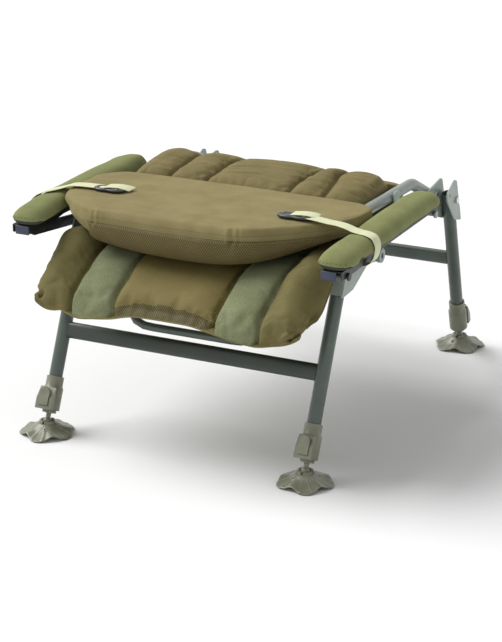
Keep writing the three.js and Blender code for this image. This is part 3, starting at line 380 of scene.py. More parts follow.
for finish, places, pieces in FINISHES:
    for piece in pieces:
        for place in places:
            dress(f"{piece}_{place}" if place else piece, finish)

# ---------------------------------------------------------------- curves and meshes


def smooth(start, end, value):
    """0 before start and 1 after end, easing in between."""
    share = np.clip((value - start) / (end - start), 0, 1)
    return share * share * (3 - 2 * share)


def mix(a, b, share):
    return a + (b - a) * share


def dip(distance, width):
    """A soft bell: 1 at no distance, near 0 beyond twice the width."""
    return np.exp(-((distance / width) ** 2))


def dome(distance, half):
    """1 in the middle of a channel and 0 at its seams."""
    return np.clip(1 - (distance / half) ** 2, 0, 1)


def fullness(share, power):
    """How far a stuffed skin stands from its seam: 0 at the rim, 1 inside."""
    return np.sqrt(np.clip(1 - np.abs(share) ** power, 0, 1))


def unit(vectors):
    return vectors / np.maximum(np.linalg.norm(vectors, axis=-1, keepdims=True), 1e-9)


def cubic(t, here, leaving, there, arriving):
    """A smooth step between two points with given slopes, as t goes from 0 to 1."""
    return ((2 * t ** 3 - 3 * t ** 2 + 1) * here + (t ** 3 - 2 * t ** 2 + t) * leaving
            + (-2 * t ** 3 + 3 * t ** 2) * there + (t ** 3 - t ** 2) * arriving)


def through(points, values):
    """A smooth curve through rows of (place, value), read at the given places."""
    places = np.array([p[0] for p in points], float)
    heights = np.array([p[1:] for p in points], float)
    slopes = np.gradient(heights, places, axis=0)
    values = np.clip(values, places[0], places[-1])
    k = np.clip(np.searchsorted(places, values, side="right") - 1, 0, len(places) - 2)
    span = (places[k + 1] - places[k])[..., None]
    t = (values - places[k])[..., None] / span
    found = cubic(t, heights[k], span * slopes[k], heights[k + 1], span * slopes[k + 1])
    return found[..., 0] if found.shape[-1] == 1 else found


def by_index(points, shares):
    """A smooth curve through evenly spaced points, read at shares of its length from 0 to 1."""
    places = np.linspace(0, 1, len(points))
    return through([(place, *point) for place, point in zip(places, points)], shares)


def walked(points):
    """Length from the first point of a line to each of its points."""
    return np.concatenate([[0], np.cumsum(np.linalg.norm(np.diff(points, axis=0), axis=1))])


def spread_out(line, places):
    """The points of a finely drawn line at the given lengths along it."""
    run = walked(line)
    return np.stack([np.interp(places, run, line[:, k]) for k in range(line.shape[1])], axis=-1)


def even_path(points, count):
    """Evenly spaced points on a smooth curve, with the length walked to each."""
    points = np.array(points, float)
    run = walked(points)
    fine = through([(place, *point) for place, point in zip(run, points)], np.linspace(0, run[-1], 600))
    places = np.linspace(0, walked(fine)[-1], count)
    return spread_out(fine, places), places


def quads(ids, closed=False):
    """Faces over a grid of point numbers, whose rows may close on themselves."""
    here, after = (ids, np.roll(ids, -1, axis=1)) if closed else (ids[:, :-1], ids[:, 1:])
    return np.stack([here[:-1], after[:-1], after[1:], here[1:]], axis=-1).reshape(-1, 4)


TURNED_OVER = [0, 3, 2, 1]        # a face's corners the other way round


def new_piece(name, points, faces, finishes, flat=None, kinds=None):
    """A mesh from points in mm. flat gives the cloth's own place in mm of each point, or of each face
    corner, and kinds says which finish each face has."""
    mesh = bpy.data.meshes.new(name)
    mesh.from_pydata((np.array(points, float) * MM).tolist(), [], faces)
    for finish in finishes:
        mesh.materials.append(finish)
    if kinds is not None:
        mesh.polygons.foreach_set("material_index", kinds.astype(np.int32))
    if flat is not None:
        if len(flat) == len(points):
            flat = flat[[loop.vertex_index for loop in mesh.loops]]
        mesh.uv_layers.new(name="cloth").data.foreach_set("uv", (flat * MM).astype(np.float32).reshape(-1))
    mesh.polygons.foreach_set("use_smooth", [True] * len(mesh.polygons))
    made = bpy.data.objects.new(name, mesh)
    bpy.context.collection.objects.link(made)
    return made


def mark_points(made, **marks):
    """Keeps a number with each point of a mesh, to be read with share()."""
    for label, values in marks.items():
        kept = made.data.attributes.new(label, "FLOAT", "POINT")
        kept.data.foreach_set("value", values.astype(np.float32))


def face_outward(made):
    """Turns one closed skin right side out."""
    work = bmesh.new()
    work.from_mesh(made.data)
    if work.calc_volume(signed=True) < 0:
        bmesh.ops.reverse_faces(work, faces=work.faces)
        work.to_mesh(made.data)
    work.free()


def shells_outward(made, sharp_from=180):
    """Turns every shell of a moulding outward, and keeps edges crisp from that many degrees."""
    work = bmesh.new()
    work.from_mesh(made.data)
    bmesh.ops.recalc_face_normals(work, faces=work.faces)
    for edge in work.edges:
        edge.smooth = len(edge.link_faces) != 2 or edge.calc_face_angle(0) < math.radians(sharp_from)
    work.to_mesh(made.data)
    work.free()


def read(items, label, width):
    found = np.empty(len(items) * width, np.float32)
    items.foreach_get(label, found)
    return found.reshape(-1, width).astype(float)


def corners(made):
    """A mesh's points in millimetres."""
    return read(made.data.vertices, "co", 3) / MM


def share(made, label):
    """The number that mark_points() kept with each point."""
    return read(made.data.attributes[label].data, "value", 1)[:, 0]


def move_to(made, points):
    made.data.vertices.foreach_set("co", (points * MM).astype(np.float32).reshape(-1))
    made.data.update()


def keep_result(made, modifier):
    """Applies one modifier to the piece's mesh."""
    for other in bpy.context.selected_objects:
        other.select_set(False)
    made.select_set(True)
    bpy.context.view_layer.objects.active = made
    bpy.ops.object.modifier_apply(modifier=modifier.name)


def ride_and_replace(made, body, slot, *nodes):
    """Gives a piece the body it moves with, and hides the CAD nodes it stands in for; its slot argument is
    not used.
    """
    if nodes:
        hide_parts(*nodes)
    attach(made, body)
    return made


# ---------------------------------------------------------------- sewn cloth


def run_lengths(points, axis):
    """Arc length from the first point along one axis of a grid."""
    steps = np.linalg.norm(np.diff(points, axis=axis), axis=2)
    start = np.zeros_like(np.take(steps, [0], axis=axis))
    return np.cumsum(np.concatenate([start, steps], axis=axis), axis=axis)


def one_cloth(u, v, side, points):
    """A cover cut from a single cloth."""
    return np.zeros(u.shape)


def sewn(name, columns, rows, skin, zone, finishes):
    """Two skins over a grid, joined along their rim. skin(u, v, side) gives points in mm, u and v go
    from -1 to 1, side is 1 for the upper skin and -1 for the lower. zone gives each face's finish."""
    u, v = np.meshgrid(np.linspace(-1, 1, columns), np.linspace(-1, 1, rows))
    middle_u, middle_v = (u[:-1, :-1] + u[1:, 1:]) / 2, (v[:-1, :-1] + v[1:, 1:]) / 2
    ids = np.arange(rows * columns).reshape(rows, columns)
    lower = ids + rows * columns
    lower[0], lower[-1], lower[:, 0], lower[:, -1] = ids[0], ids[-1], ids[:, 0], ids[:, -1]
    places, faces, kinds, maps = [], [], [], []
    for side, table, order in ((1, ids, slice(None)), (-1, lower, TURNED_OVER)):
        points = skin(u, v, side)
        places.append(points.reshape(-1, 3))
        across = run_lengths(points, 1)
        flat = np.stack([across - across[:, columns // 2][:, None], run_lengths(points, 0)], axis=-1)
        faces.append(quads(table)[:, order])
        maps.append(flat.reshape(-1, 2)[quads(ids)[:, order]])
        kind = zone(middle_u, middle_v, side, (points[:-1, :-1] + points[1:, 1:]) / 2)
        kinds.append(np.broadcast_to(kind, middle_u.shape).reshape(-1))
    faces = np.concatenate(faces)
    used, inverse = np.unique(faces, return_inverse=True)
    made = new_piece(name, np.concatenate(places)[used], inverse.reshape(faces.shape).tolist(), finishes,
                     np.concatenate(maps).reshape(-1, 2), np.concatenate(kinds))
    mark_points(made, share_u=np.tile(u.reshape(-1), 2)[used], share_v=np.tile(v.reshape(-1), 2)[used],
                skin_side=np.repeat([1.0, -1.0], rows * columns)[used])
    face_outward(made)
    return made


def refine(made):
    finer = made.modifiers.new("finer_cloth", "SUBSURF")
    finer.levels = finer.render_levels = 1
    finer.uv_smooth = "PRESERVE_BOUNDARIES"
    keep_result(made, finer)


# Padded microfibre: stiff enough to span its channels, and a little short, so that the filling tightens it.
CLOTH_FEEL = {"quality": 6, "mass": 0.25, "tension_stiffness": 12, "compression_stiffness": 12,
              "shear_stiffness": 6, "bending_stiffness": 0.6, "use_pressure": True, "shrink_min": -0.03,
              "vertex_group_mass": "sewn_down", "pin_stiffness": 2}
SETTLING_FRAMES = 18


def stuffed(made, held, pressure, cap):
    """Lets the cover settle over its filling as real cloth: held gives how firmly each point is sewn
    down, and no point moves further than cap."""
    before = corners(made)
    group = made.vertex_groups.new(name="sewn_down")
    for index, weight in enumerate(held(made)):
        if weight > 0.01:
            group.add([index], float(weight), "REPLACE")
    cover = made.modifiers.new("stuffing", "CLOTH")
    for setting, value in CLOTH_FEEL.items():
        setattr(cover.settings, setting, value)
    cover.settings.uniform_pressure_force = pressure
    cover.settings.effector_weights.gravity = 0
    cover.collision_settings.use_collision = False
    cover.point_cache.frame_start, cover.point_cache.frame_end = 1, SETTLING_FRAMES
    for step in range(1, SETTLING_FRAMES + 1):
        bpy.context.scene.frame_set(step)
    keep_result(made, cover)
    bpy.context.scene.frame_set(1)
    move = corners(made) - before
    far = np.linalg.norm(move, axis=1)
    limit = cap * np.tanh(far / cap) / np.maximum(far, 1e-6)
    move_to(made, before + move * limit[:, None])


def crease(points, path, width, depth, lips=0.5):
    """How far a fold along a line of points sinks the cloth there, with raised lips beside it."""
    best = np.full(len(points), 1e9)
    fade = np.zeros(len(points))
    path = np.array(path, float)
    run = walked(path)
    for start, end, here, there in zip(path[:-1], path[1:], run[:-1], run[1:]):
        along = np.clip((points - start) @ (end - start) / (there - here) ** 2, 0, 1)
        away = np.linalg.norm(points - (start + along[:, None] * (end - start)), axis=1)
        place = mix(here, there, along) / run[-1]
        closer = away < best
        best = np.where(closer, away, best)
        fade = np.where(closer, np.sqrt(np.clip(4 * place * (1 - place), 0, 1)), fade)
    return fade * depth * (-dip(best, width) + lips * dip(best - 2.1 * width, width))


def creased(points, folds):
    """The sum of several folds, each a path with its width and depth."""
    return sum(crease(points, path, width, depth) for path, width, depth in folds)


def raised(made, lift):
    """Moves every point of a cover along its own normal by that many mm."""
    points = corners(made) + read(made.data.vertices, "normal", 3) * lift[:, None]
    move_to(made, points)
    return points


def cord(name, path, radius, finish, sides):
    """A round cord along points in mm, such as piping."""
    ahead = unit(np.gradient(path, axis=0))
    first = np.cross(ahead, [0.0, 0.0, 1.0])
    first[np.linalg.norm(first, axis=1) < 1e-3] = [1.0, 0.0, 0.0]
    first = unit(first)
    turn = np.linspace(0, 2 * math.pi, sides, endpoint=False)[:, None]
    ring = np.cos(turn) * first[:, None, :] + np.sin(turn) * np.cross(first, ahead)[:, None, :]
    points = (path[:, None, :] + radius * ring).reshape(-1, 3)
    ids = np.arange(len(points)).reshape(-1, sides)
    faces = quads(ids, True).tolist() + [ids[0][::-1].tolist(), ids[-1].tolist()]
    made = new_piece(name, points, faces, [finish], points[:, :2])
    face_outward(made)
    return made


THREAD_TAPER = (0.5, 1.0, 0.5)
THREAD_SIDES = 6


def threads(name, paths, radius, body):
    """Short stitches of thread as one mesh, each a little cord with thin ends along its three points."""
    turn = np.linspace(0, 2 * math.pi, THREAD_SIDES, endpoint=False)[:, None]
    points, faces = [], []
    for path in paths:
        ahead = unit(path[-1] - path[0])
        first = unit(np.cross(ahead, [0.0, 0.0, 1.0]))
        ring = np.cos(turn) * first + np.sin(turn) * np.cross(first, ahead)
        ids = len(points) * THREAD_SIDES + np.arange(len(path) * THREAD_SIDES).reshape(-1, THREAD_SIDES)
        points += [spot + radius * thick * ring for spot, thick in zip(path, THREAD_TAPER)]
        faces += quads(ids, True).tolist() + [ids[0][::-1].tolist(), ids[-1].tolist()]
    points = np.concatenate(points)
    made = new_piece(name, points, faces, [THREAD], np.zeros((len(points), 2)))
    ride_and_replace(made, body, "khaki_cloth")

# ---------------------------------------------------------------- seat cushion

SEAT_SEAMS = (98, 181)            # the mesh panel ends at the first, the velour strip at the second
SEAT_HALVES = (237, 269, 256)     # half width between the rails, ahead of them, and at the hem
SEAM_SHARES = (0.36, 0.68)        # where those seams fall across the grid, on its own lines
# The cushion's upper and lower skins as (y, z) from the hinge to the hem, in its middle and over a rail.
SEAT_TOP_MIDDLE = [(150, 352), (120, 372), (0, 374), (-90, 367), (-200, 352), (-302, 338), (-362, 313),
                   (-408, 286), (-421, 256)]
SEAT_TOP_SIDE = [(150, 368), (120, 379), (0, 382), (-90, 381), (-200, 376), (-300, 366), (-356, 338),
                 (-398, 300), (-412, 257)]
SEAT_UNDER_MIDDLE = [(150, 352), (120, 322), (0, 320), (-90, 320), (-200, 325), (-266, 322), (-312, 298),
                     (-366, 274), (-420, 256)]
SEAT_UNDER_SIDE = [(150, 368), (120, 366), (0, 366), (-90, 366), (-200, 366), (-262, 347), (-290, 312),
                   (-328, 284), (-411, 257)]
# How far the hem stands above its mean level, as (x, rise).
SEAT_HEM_LINE = [(-270, 26), (-256, 9), (-240, -2), (-217, -5), (-198, 0), (-182, -3), (-166, -7),
                 (-133, -4), (-98, 1), (-57, 11), (-18, 13), (20, 13), (59, 12), (97, 5), (119, 1),
                 (134, -2), (162, -5), (188, -6), (209, -4), (225, -1), (245, 7), (256, 14), (270, 28)]


def seat_across(u, v):
    """Distance in mm from the cushion's middle line, with its seams on the grid's own lines."""
    along = (v + 1) / 2
    rear, wide, front = SEAT_HALVES
    half = mix(mix(rear, wide, smooth(0.57, 0.645, along)), front, smooth(0.88, 1, along))
    place = np.abs(u)
    inner, outer = SEAM_SHARES
    first, second = SEAT_SEAMS
    x = np.where(place < inner, first * place / inner,
                 np.where(place < outer, mix(first, second, (place - inner) / (outer - inner)),
                          mix(second, half, (place - outer) / (1 - outer))))
    return np.sign(u) * x


def seat_skin(u, v, side):
    """The seat cushion lies on the sling, bulges over both rails and hangs down in front to its hem."""
    along = (v + 1) / 2
    x = seat_across(u, v)
    weight = smooth(SEAT_SEAMS[1] - 6, RAIL_INNER, np.abs(x))[..., None]
    top = mix(by_index(SEAT_TOP_MIDDLE, along), by_index(SEAT_TOP_SIDE, along), weight)
    under = mix(by_index(SEAT_UNDER_MIDDLE, along), by_index(SEAT_UNDER_SIDE, along), weight)
    full = (fullness(u, 9) * fullness(v, 14))[..., None]
    rim = mix(top, under, 0.7)
    point = mix(rim, top if side > 0 else under, full)
    z = point[..., 1] + smooth(0.82, 1, along) * through(SEAT_HEM_LINE, x)
    z = np.where(point[..., 0] > -262, np.maximum(z, SLING_LOW + 1.5), z)    # rests on the sling
    return np.stack([x, point[..., 0], z], axis=-1)


def seat_zone(u, v, side, points):
    """Golden mesh in the middle with a band of painted shade at its front, a velour strip on each side, plain
    flanks.
    """
    place, along = np.abs(u), (v + 1) / 2
    kind = np.where(place < SEAM_SHARES[0], 1, np.where(place < SEAM_SHARES[1], 2, 0))
    # The band is painted shade: the golden mesh, darkened where the cushion's front turns down.
    band = along > 0.862 + 0.06 * np.clip(place / SEAM_SHARES[0], 0, 1) ** 2.5
    kind = np.where(band & (kind == 1), 3, kind)
    return kind if side > 0 else np.zeros_like(kind)


def seat_sewn_down(made):
    """Sewn down at the seams and the rim, and loose in between."""
    place, v, side = np.abs(share(made, "share_u")), share(made, "share_v"), share(made, "skin_side")
    held = 1 - fullness(place, 26) * fullness(v, 30)
    for seam in SEAM_SHARES:
        held = np.maximum(held, dip(place - seam, 0.012))
    return np.where((side < 0) | (v < -0.35), 1, held)


SEAT_FOLDS = [
    # the right front corner, where the cover is tucked under
    ([(231, -404, 302), (236, -406, 291), (243, -404, 280)], 3.2, 8),
    ([(250, -398, 262), (236, -410, 271), (224, -412, 261)], 3.0, 8),
    ([(236, -410, 271), (234, -410, 280)], 2.8, 6),
    ([(262, -385, 284), (250, -402, 271), (245, -406, 262)], 3.4, 6.5),
    ([(266, -345, 314), (262, -372, 296), (254, -392, 284)], 4, 3.6),
    ([(206, -414, 256), (216, -410, 262)], 3, 3),
    # the left front corner
    ([(-266, -386, 292), (-246, -398, 300), (-222, -404, 308)], 4, 3.0),
    ([(-262, -382, 262), (-248, -398, 268), (-237, -402, 281)], 3.6, 5),
    ([(-264, -384, 278), (-250, -398, 276)], 3.4, 4.5),
    ([(-228, -404, 262), (-206, -412, 268)], 4, 2.2),
    ([(-262, -346, 326), (-236, -360, 332)], 6, 2.0),
    # the slack of both velour strips over the front edge
    ([(110, -404, 292), (140, -410, 286), (168, -404, 292)], 9, 1.2),
    ([(-166, -404, 288), (-136, -408, 284), (-110, -402, 290)], 9, 1.2),
]


def seat_lift(points, across, along, upper):
    """Shape beyond the blown-up cover: full strips and flanks, a sagging mesh panel, sunk seams, tugs
    beside the stitching, and folds at the front corners."""
    away = np.abs(across)
    front = smooth(0.5, 0.62, along) * (1 - 0.6 * smooth(0.93, 1, along))
    panel = np.clip(1 - (away / SEAT_SEAMS[0]) ** 4, 0, 1)
    lift = front * (4 * dome(away - 139.5, 41.5) + 5 * dome(away - 221, 40))
    lift -= front * 5 * dome(away, SEAT_SEAMS[0])
    lift += panel * (3.2 * dip(along - 0.81, 0.05) - 2.6 * dip(along - 0.905, 0.035))
    lift -= front * 7 * smooth(46, 92, across) * (1 - smooth(98, 104, across))
    for seam in SEAT_SEAMS:
        lift -= 8 * dip(away - seam, 3.8) + 2.4 * dip(away - seam, 13)
    tugs = np.sin(along * 140 + 2 * np.sin(along * 37) + across / 30)
    lift += 0.5 * tugs * (dip(away - SEAT_SEAMS[1] - 9, 8) + 0.6 * dip(away - SEAT_SEAMS[0] + 8, 8))
    return upper * (lift + creased(points, SEAT_FOLDS))


def make_seat_cushion():
    seat = sewn("seat_cushion_cover", 101, 121, seat_skin, seat_zone,
                [SEAT_CLOTH, GOLD_MESH, SAGE_VELOUR, SHADED_GOLD_MESH])
    stuffed(seat, seat_sewn_down, pressure=4, cap=6)
    refine(seat)
    u, v = share(seat, "share_u"), share(seat, "share_v")
    upper = np.clip(share(seat, "skin_side"), 0, 1) * fullness(v, 40)
    raised(seat, seat_lift(corners(seat), seat_across(u, v), (v + 1) / 2, upper))
    return ride_and_replace(seat, "seat_frame", "khaki_cloth", "seat_cushion")


def row_of(made, label, level, other, low, high):
    """The points where one share equals a level, in the order of the other share, in mm."""
    first, second = share(made, label), share(made, other)
    picked = (np.abs(first - level) < 1e-3) & (second >= low) & (second <= high)
    return corners(made)[picked][np.argsort(second[picked], kind="stable")]


def bind_seat(cover):
    """The cushion's bound edge: a pale tape along the front hem and up both front corners."""
    hem = row_of(cover, "share_v", 1, "share_u", -1, 1)
    left, right = (row_of(cover, "share_u", end, "share_v", 0.36, 0.999) for end in (-1, 1))
    line, _ = even_path(np.concatenate([left, hem, right[::-1]]), count=420)
    binding = cord("seat_hem_binding", line, radius=1.3, finish=HEM_TAPE, sides=8)
    ride_and_replace(binding, "seat_frame", "khaki_cloth")


bind_seat(make_seat_cushion())

# ---------------------------------------------------------------- pillow at the head of the backrest

# The pillow's seam seen from above, the width of the bank over it at each x, the bank's rise by the share
# of that width, and the belly as (inset, share of its depth) where it is mesh and where it is plain.
PILLOW_SEAM = [(-177, -341), (-140, -343), (-62, -346), (0, -347), (59, -345), (98, -339), (121, -331),
               (174, -294), (208, -262), (240, -226), (262, -186), (268, -150), (268, -124), (254, -106),
               (200, -94), (132, -91), (30, -86), (-67, -86), (-151, -87), (-200, -88), (-248, -96),
               (-264, -118), (-268, -170), (-266, -236), (-246, -296), (-213, -326)]
PILLOW_BANKS = [(-290, 6), (-240, 8), (-177, 13), (-120, 20), (0, 27), (60, 24), (98, 14), (121, 14),
                (172, 22), (231, 12), (290, 10)]
PILLOW_WALL = [(0, 0), (0.06, 0.2), (0.14, 0.42), (0.23, 0.62), (0.32, 0.78), (0.4, 0.86), (0.5, 0.9),
               (0.7, 0.93), (1.1, 0.97), (1.6, 1.0)]
PILLOW_LOWER = [(0, 0), (-3.5, -0.12), (-5, -0.3), (-3, -0.5), (4, -0.68), (16, -0.83), (34, -0.94),
                (60, -1.0), (110, -1.0)]
PILLOW_PLAIN_LOWER = [(0, 0), (1.5, -0.12), (5, -0.3), (10, -0.5), (17, -0.68), (27, -0.83), (41, -0.94),
                      (62, -1.0), (110, -1.0)]
PILLOW_SEAM_LEVEL = 402
PILLOW_HEIGHT = 23
PILLOW_MIDDLE = np.array((-5.0, -210.0))
PILLOW_DENTS = [                  # where the seam is tucked or tight: place, width, depth
    ((98, -339), 4, 2.6), ((88, -341), 3, -1.2), ((109, -336), 3, 1.6), ((-172, -341), 4, 2.2),
    ((-160, -342), 3, 1.0), ((172, -293), 9, 0.8), ((-60, -346), 26, 0.7), ((20, -346), 22, 0.6),
]
PILLOW_FOLDS = [                  # shallow slack across the top
    ([(-250, -262, 425), (-120, -262, 425), (60, -268, 425), (190, -240, 425)], 12, 0.8),
    ([(-262, -200, 425), (-60, -182, 425), (120, -195, 425), (255, -160, 425)], 12, 0.8),
    ([(-220, -140, 425), (0, -132, 425), (220, -140, 425)], 10, 0.7),
]
PILLOW_POINTS = 600               # round the seam
BANK_END = 1.6                    # the bank levels off this many of its own widths from the seam
PILLOW_DRAW = 118                 # inset at which the rows would meet in the middle


def round_loop(points, count):
    """A smooth closed line through the points, at even steps of its length."""
    points = np.array(points, float)
    before, after = np.roll(points, 1, axis=0), np.roll(points, -1, axis=0)
    reach = np.linalg.norm(after - points, axis=1)[:, None]
    back_reach = np.roll(reach, 1, axis=0)
    slopes = ((after - points) / reach * back_reach + (points - before) / back_reach * reach
              ) / (reach + back_reach)
    t = np.linspace(0, 1, 24, endpoint=False)[:, None]
    rows = zip(points, reach * slopes, after, reach * np.roll(slopes, -1, axis=0))
    fine = np.concatenate([cubic(t, *row) for row in rows])
    fine = np.concatenate([fine, fine[:1]])
    places = np.linspace(0, walked(fine)[-1], count, endpoint=False)
    return spread_out(fine, places), places


def inward(loop, middle):
    """Unit directions pointing into a closed line."""
    ahead = unit(np.roll(loop, -1, axis=0) - np.roll(loop, 1, axis=0))
    into = np.stack([-ahead[:, 1], ahead[:, 0]], axis=-1)
    return into if np.sum(into * (middle - loop)) > 0 else -into


def pillow_depth(x, y):
    """How far the pillow's belly hangs below its seam: deepest in front of its middle."""
    ends = 1 - np.clip(np.abs(x + 10) / 268, 0, 1) ** 2.6
    rear = mix(0.36, 1.0, smooth(110, 300, -y))
    return 8 + 52 * ends * rear


def pillow_ring(loop, into, inset, z, bank):
    """One closed row of points: straight in from the seam at first, then drawn to the middle."""
    inset = np.asarray(inset, float) * np.ones(len(loop))
    straight_for = np.clip(1.2 * bank, 6, 30)
    straight = loop + into * inset[:, None]
    drawn = PILLOW_MIDDLE + (loop - PILLOW_MIDDLE) * (1 - np.clip(inset / PILLOW_DRAW, 0, 1))[:, None]
    flat = mix(straight, drawn, smooth(0, 1, (inset - straight_for) / 34)[:, None])
    overhang = 15 * smooth(PILLOW_SEAM_LEVEL + 1, PILLOW_SEAM_LEVEL + 15, z) * smooth(228, 262, -flat[:, 0])
    flat[:, 0] -= overhang * smooth(100, 140, -flat[:, 1]) * (1 - smooth(285, 325, -flat[:, 1]))
    return np.column_stack([flat, np.broadcast_to(z, len(loop))])


def pillow_plain(loop):
    """1 where the cover wraps round without a seam: the left end and the rear."""
    return np.maximum(smooth(176, 190, -loop[:, 0]), smooth(-190, -165, loop[:, 1]))


def pillow_rows(loop, into):
    """Rows from the middle of the belly, out to the seam, up the bank and in over the top."""
    bank = np.maximum(through(PILLOW_BANKS, loop[:, 0]) * (1 - smooth(-190, -150, loop[:, 1])), 6)
    plain = pillow_plain(loop)
    lower, upper = [], []
    for step in np.linspace(0, 1, 52)[1:, None]:
        meshed, bare = by_index(PILLOW_LOWER, step)[0], by_index(PILLOW_PLAIN_LOWER, step)[0]
        ring = pillow_ring(loop, into, mix(meshed[0], bare[0], plain), PILLOW_SEAM_LEVEL, bank)
        ring[:, 2] += mix(meshed[1], bare[1], plain) * pillow_depth(ring[:, 0], ring[:, 1])
        lower.append(ring)
    for step in np.linspace(0, BANK_END, 40):
        rise = float(through(PILLOW_WALL, np.array([step]))[0])
        upper.append(pillow_ring(loop, into, step * bank, PILLOW_SEAM_LEVEL + PILLOW_HEIGHT * rise, bank))
    for step in np.linspace(0, 1, 26)[1:]:
        inset = mix(BANK_END * bank, PILLOW_DRAW - 5, step)
        upper.append(pillow_ring(loop, into, inset, PILLOW_SEAM_LEVEL + PILLOW_HEIGHT, bank))
    return np.stack(lower[::-1] + upper), len(lower)


def make_pillow():
    loop, run = round_loop(PILLOW_SEAM, PILLOW_POINTS)
    rings, seam_at = pillow_rows(loop, inward(loop, PILLOW_MIDDLE))
    rows, count = len(rings), PILLOW_POINTS
    ids = np.arange(rows * count).reshape(rows, count)
    low_id, top_id = rows * count, rows * count + 1
    faces = quads(ids, True).tolist()
    faces += [[low_id, b, a] for a, b in zip(ids[0].tolist(), np.roll(ids[0], -1).tolist())]
    faces += [[top_id, a, b] for a, b in zip(ids[-1].tolist(), np.roll(ids[-1], -1).tolist())]
    points = np.concatenate([rings.reshape(-1, 3), [rings[0].mean(0), rings[-1].mean(0)]])
    row_at = np.concatenate([np.repeat(np.arange(rows), count), [0, rows - 1]])
    run_at = np.concatenate([np.tile(run, rows), [0, 0]])
    face_x, face_y = np.tile(loop[:, 0], rows - 1), np.tile(loop[:, 1], rows - 1)
    meshed = (np.repeat(np.arange(rows - 1), count) < seam_at) & (face_x > -186) & (face_y < -150)
    kinds = np.concatenate([meshed, np.ones(count), np.zeros(count)])
    height = np.concatenate([[0], np.cumsum(np.linalg.norm(np.diff(rings, axis=0), axis=2).mean(1))])
    on_wall = np.column_stack([run_at, height[row_at]])
    flat = np.where((row_at - seam_at > 24)[:, None], points[:, :2], on_wall)
    pillow = new_piece("pillow_cover", points, faces, [PILLOW_CLOTH, PILLOW_MESH], flat, kinds)
    mark_points(pillow, ring_row=row_at - seam_at, seam_run=run_at)
    face_outward(pillow)
    return pillow, loop, run


def pillow_lift(points, row, seam_run, loop, run):
    """A sunk front seam with tucks, faint ripples round the bank, and slack over the top."""
    plain = np.interp(seam_run, run, pillow_plain(loop))
    lift = (1 - plain) * (-2.2 * dip(row, 1.3) + 0.8 * dip(np.abs(row) - 5, 3))
    for place, width, depth in PILLOW_DENTS:
        near = np.argmin(np.linalg.norm(loop - np.array(place), axis=1))
        reach = dip(row - 5, 8) + 0.8 * dip(row + 4, 6)
        lift -= depth * reach * dip(seam_run - run[near], width)
    bank = smooth(-20, -6, row) * (1 - smooth(20, 34, row))
    lift += bank * 0.35 * np.sin(seam_run / 9 + 2 * np.sin(seam_run / 31))
    slack = creased(points, PILLOW_FOLDS) + 0.9 * np.sin(points[:, 0] / 62 + 1) * np.sin(points[:, 1] / 38)
    return lift + smooth(26, 34, row) * slack


def stitch_pillow(points, row, seam_run):
    """The row of stitches along the pillow's front seam: short dark threads with gaps between them."""
    shown = (np.abs(row - 3) < 0.1) & (points[:, 1] < -215) & (points[:, 0] > -176)
    order = np.argsort(seam_run[shown])
    line, places = points[shown][order], seam_run[shown][order]
    stitches = [np.stack([np.interp([start, start + 1.3, start + 2.6], places, line[:, k]) for k in range(3)],
                         axis=-1) for start in np.arange(places[0], places[-1] - 4, 4.6)]
    threads("pillow_stitches", stitches, radius=0.42, body="backrest")


def finish_pillow():
    pillow, loop, run = make_pillow()
    row, seam_run = share(pillow, "ring_row"), share(pillow, "seam_run")
    points = raised(pillow, pillow_lift(corners(pillow), row, seam_run, loop, run))
    ride_and_replace(pillow, "backrest", "khaki_cloth", "pillow")
    stitch_pillow(points, row, seam_run)


finish_pillow()

# ---------------------------------------------------------------- back cushion between the backrest tubes

PAD_FRONT, PAD_REAR = -88, 150
PAD_SEAM_LEVEL, PAD_RISE, PAD_DROP = 404, 19, 18
# The cushion's edges and its four sewn seams, each as (y, x), then its creases with width and depth.
PAD_LEFT_LINE = [(-78, -236), (-30, -247), (20, -254), (60, -258), (90, -250), (120, -232), (150, -210)]
PAD_RIGHT_LINE = [(-78, 217), (40, 217), (80, 214), (110, 200), (150, 176)]
PAD_SEAM_LINES = [
    [(-84, -161), (-16, -170), (75, -178), (150, -174)],
    [(-84, -86), (-7, -92), (59, -95), (88, -82), (150, -66)],
    [(-84, 82), (18, 76), (62, 81), (100, 96), (150, 104)],
    [(-84, 154), (27, 131), (60, 124), (89, 133), (150, 142)],
]
PAD_CREASES = [
    ([(-77, -47, 422), (-43, -44, 424), (2, -36, 424), (52, -48, 422)], 6, 3.4),
    ([(-80, -7, 422), (-52, 3, 424), (-20, 9, 424), (16, 4, 424)], 6, 3.0),
    ([(-30, 40, 424), (10, 36, 424), (52, 44, 422)], 7, 1.6),
    ([(-92, -24, 422), (-118, -14, 424), (-140, -20, 424)], 6, 2.0),
    ([(-96, 40, 422), (-120, 46, 424), (-142, 40, 424)], 7, 1.6),
    ([(84, -30, 422), (104, -22, 424), (124, -34, 424)], 5, 2.0),
    ([(82, 30, 422), (98, 36, 424), (112, 30, 424)], 5, 1.8),
    ([(136, 20, 422), (164, 12, 424), (196, 24, 420)], 7, 2.2),
    ([(140, 66, 422), (166, 58, 424), (192, 70, 418)], 6, 2.0),
    ([(-184, 20, 422), (-206, 12, 424), (-232, 22, 420)], 7, 2.0),
    ([(-176, -40, 422), (-202, -50, 424), (-224, -44, 420)], 7, 1.6),
    ([(200, 96, 410), (208, 60, 412), (206, 20, 412)], 6, 3.0),
]


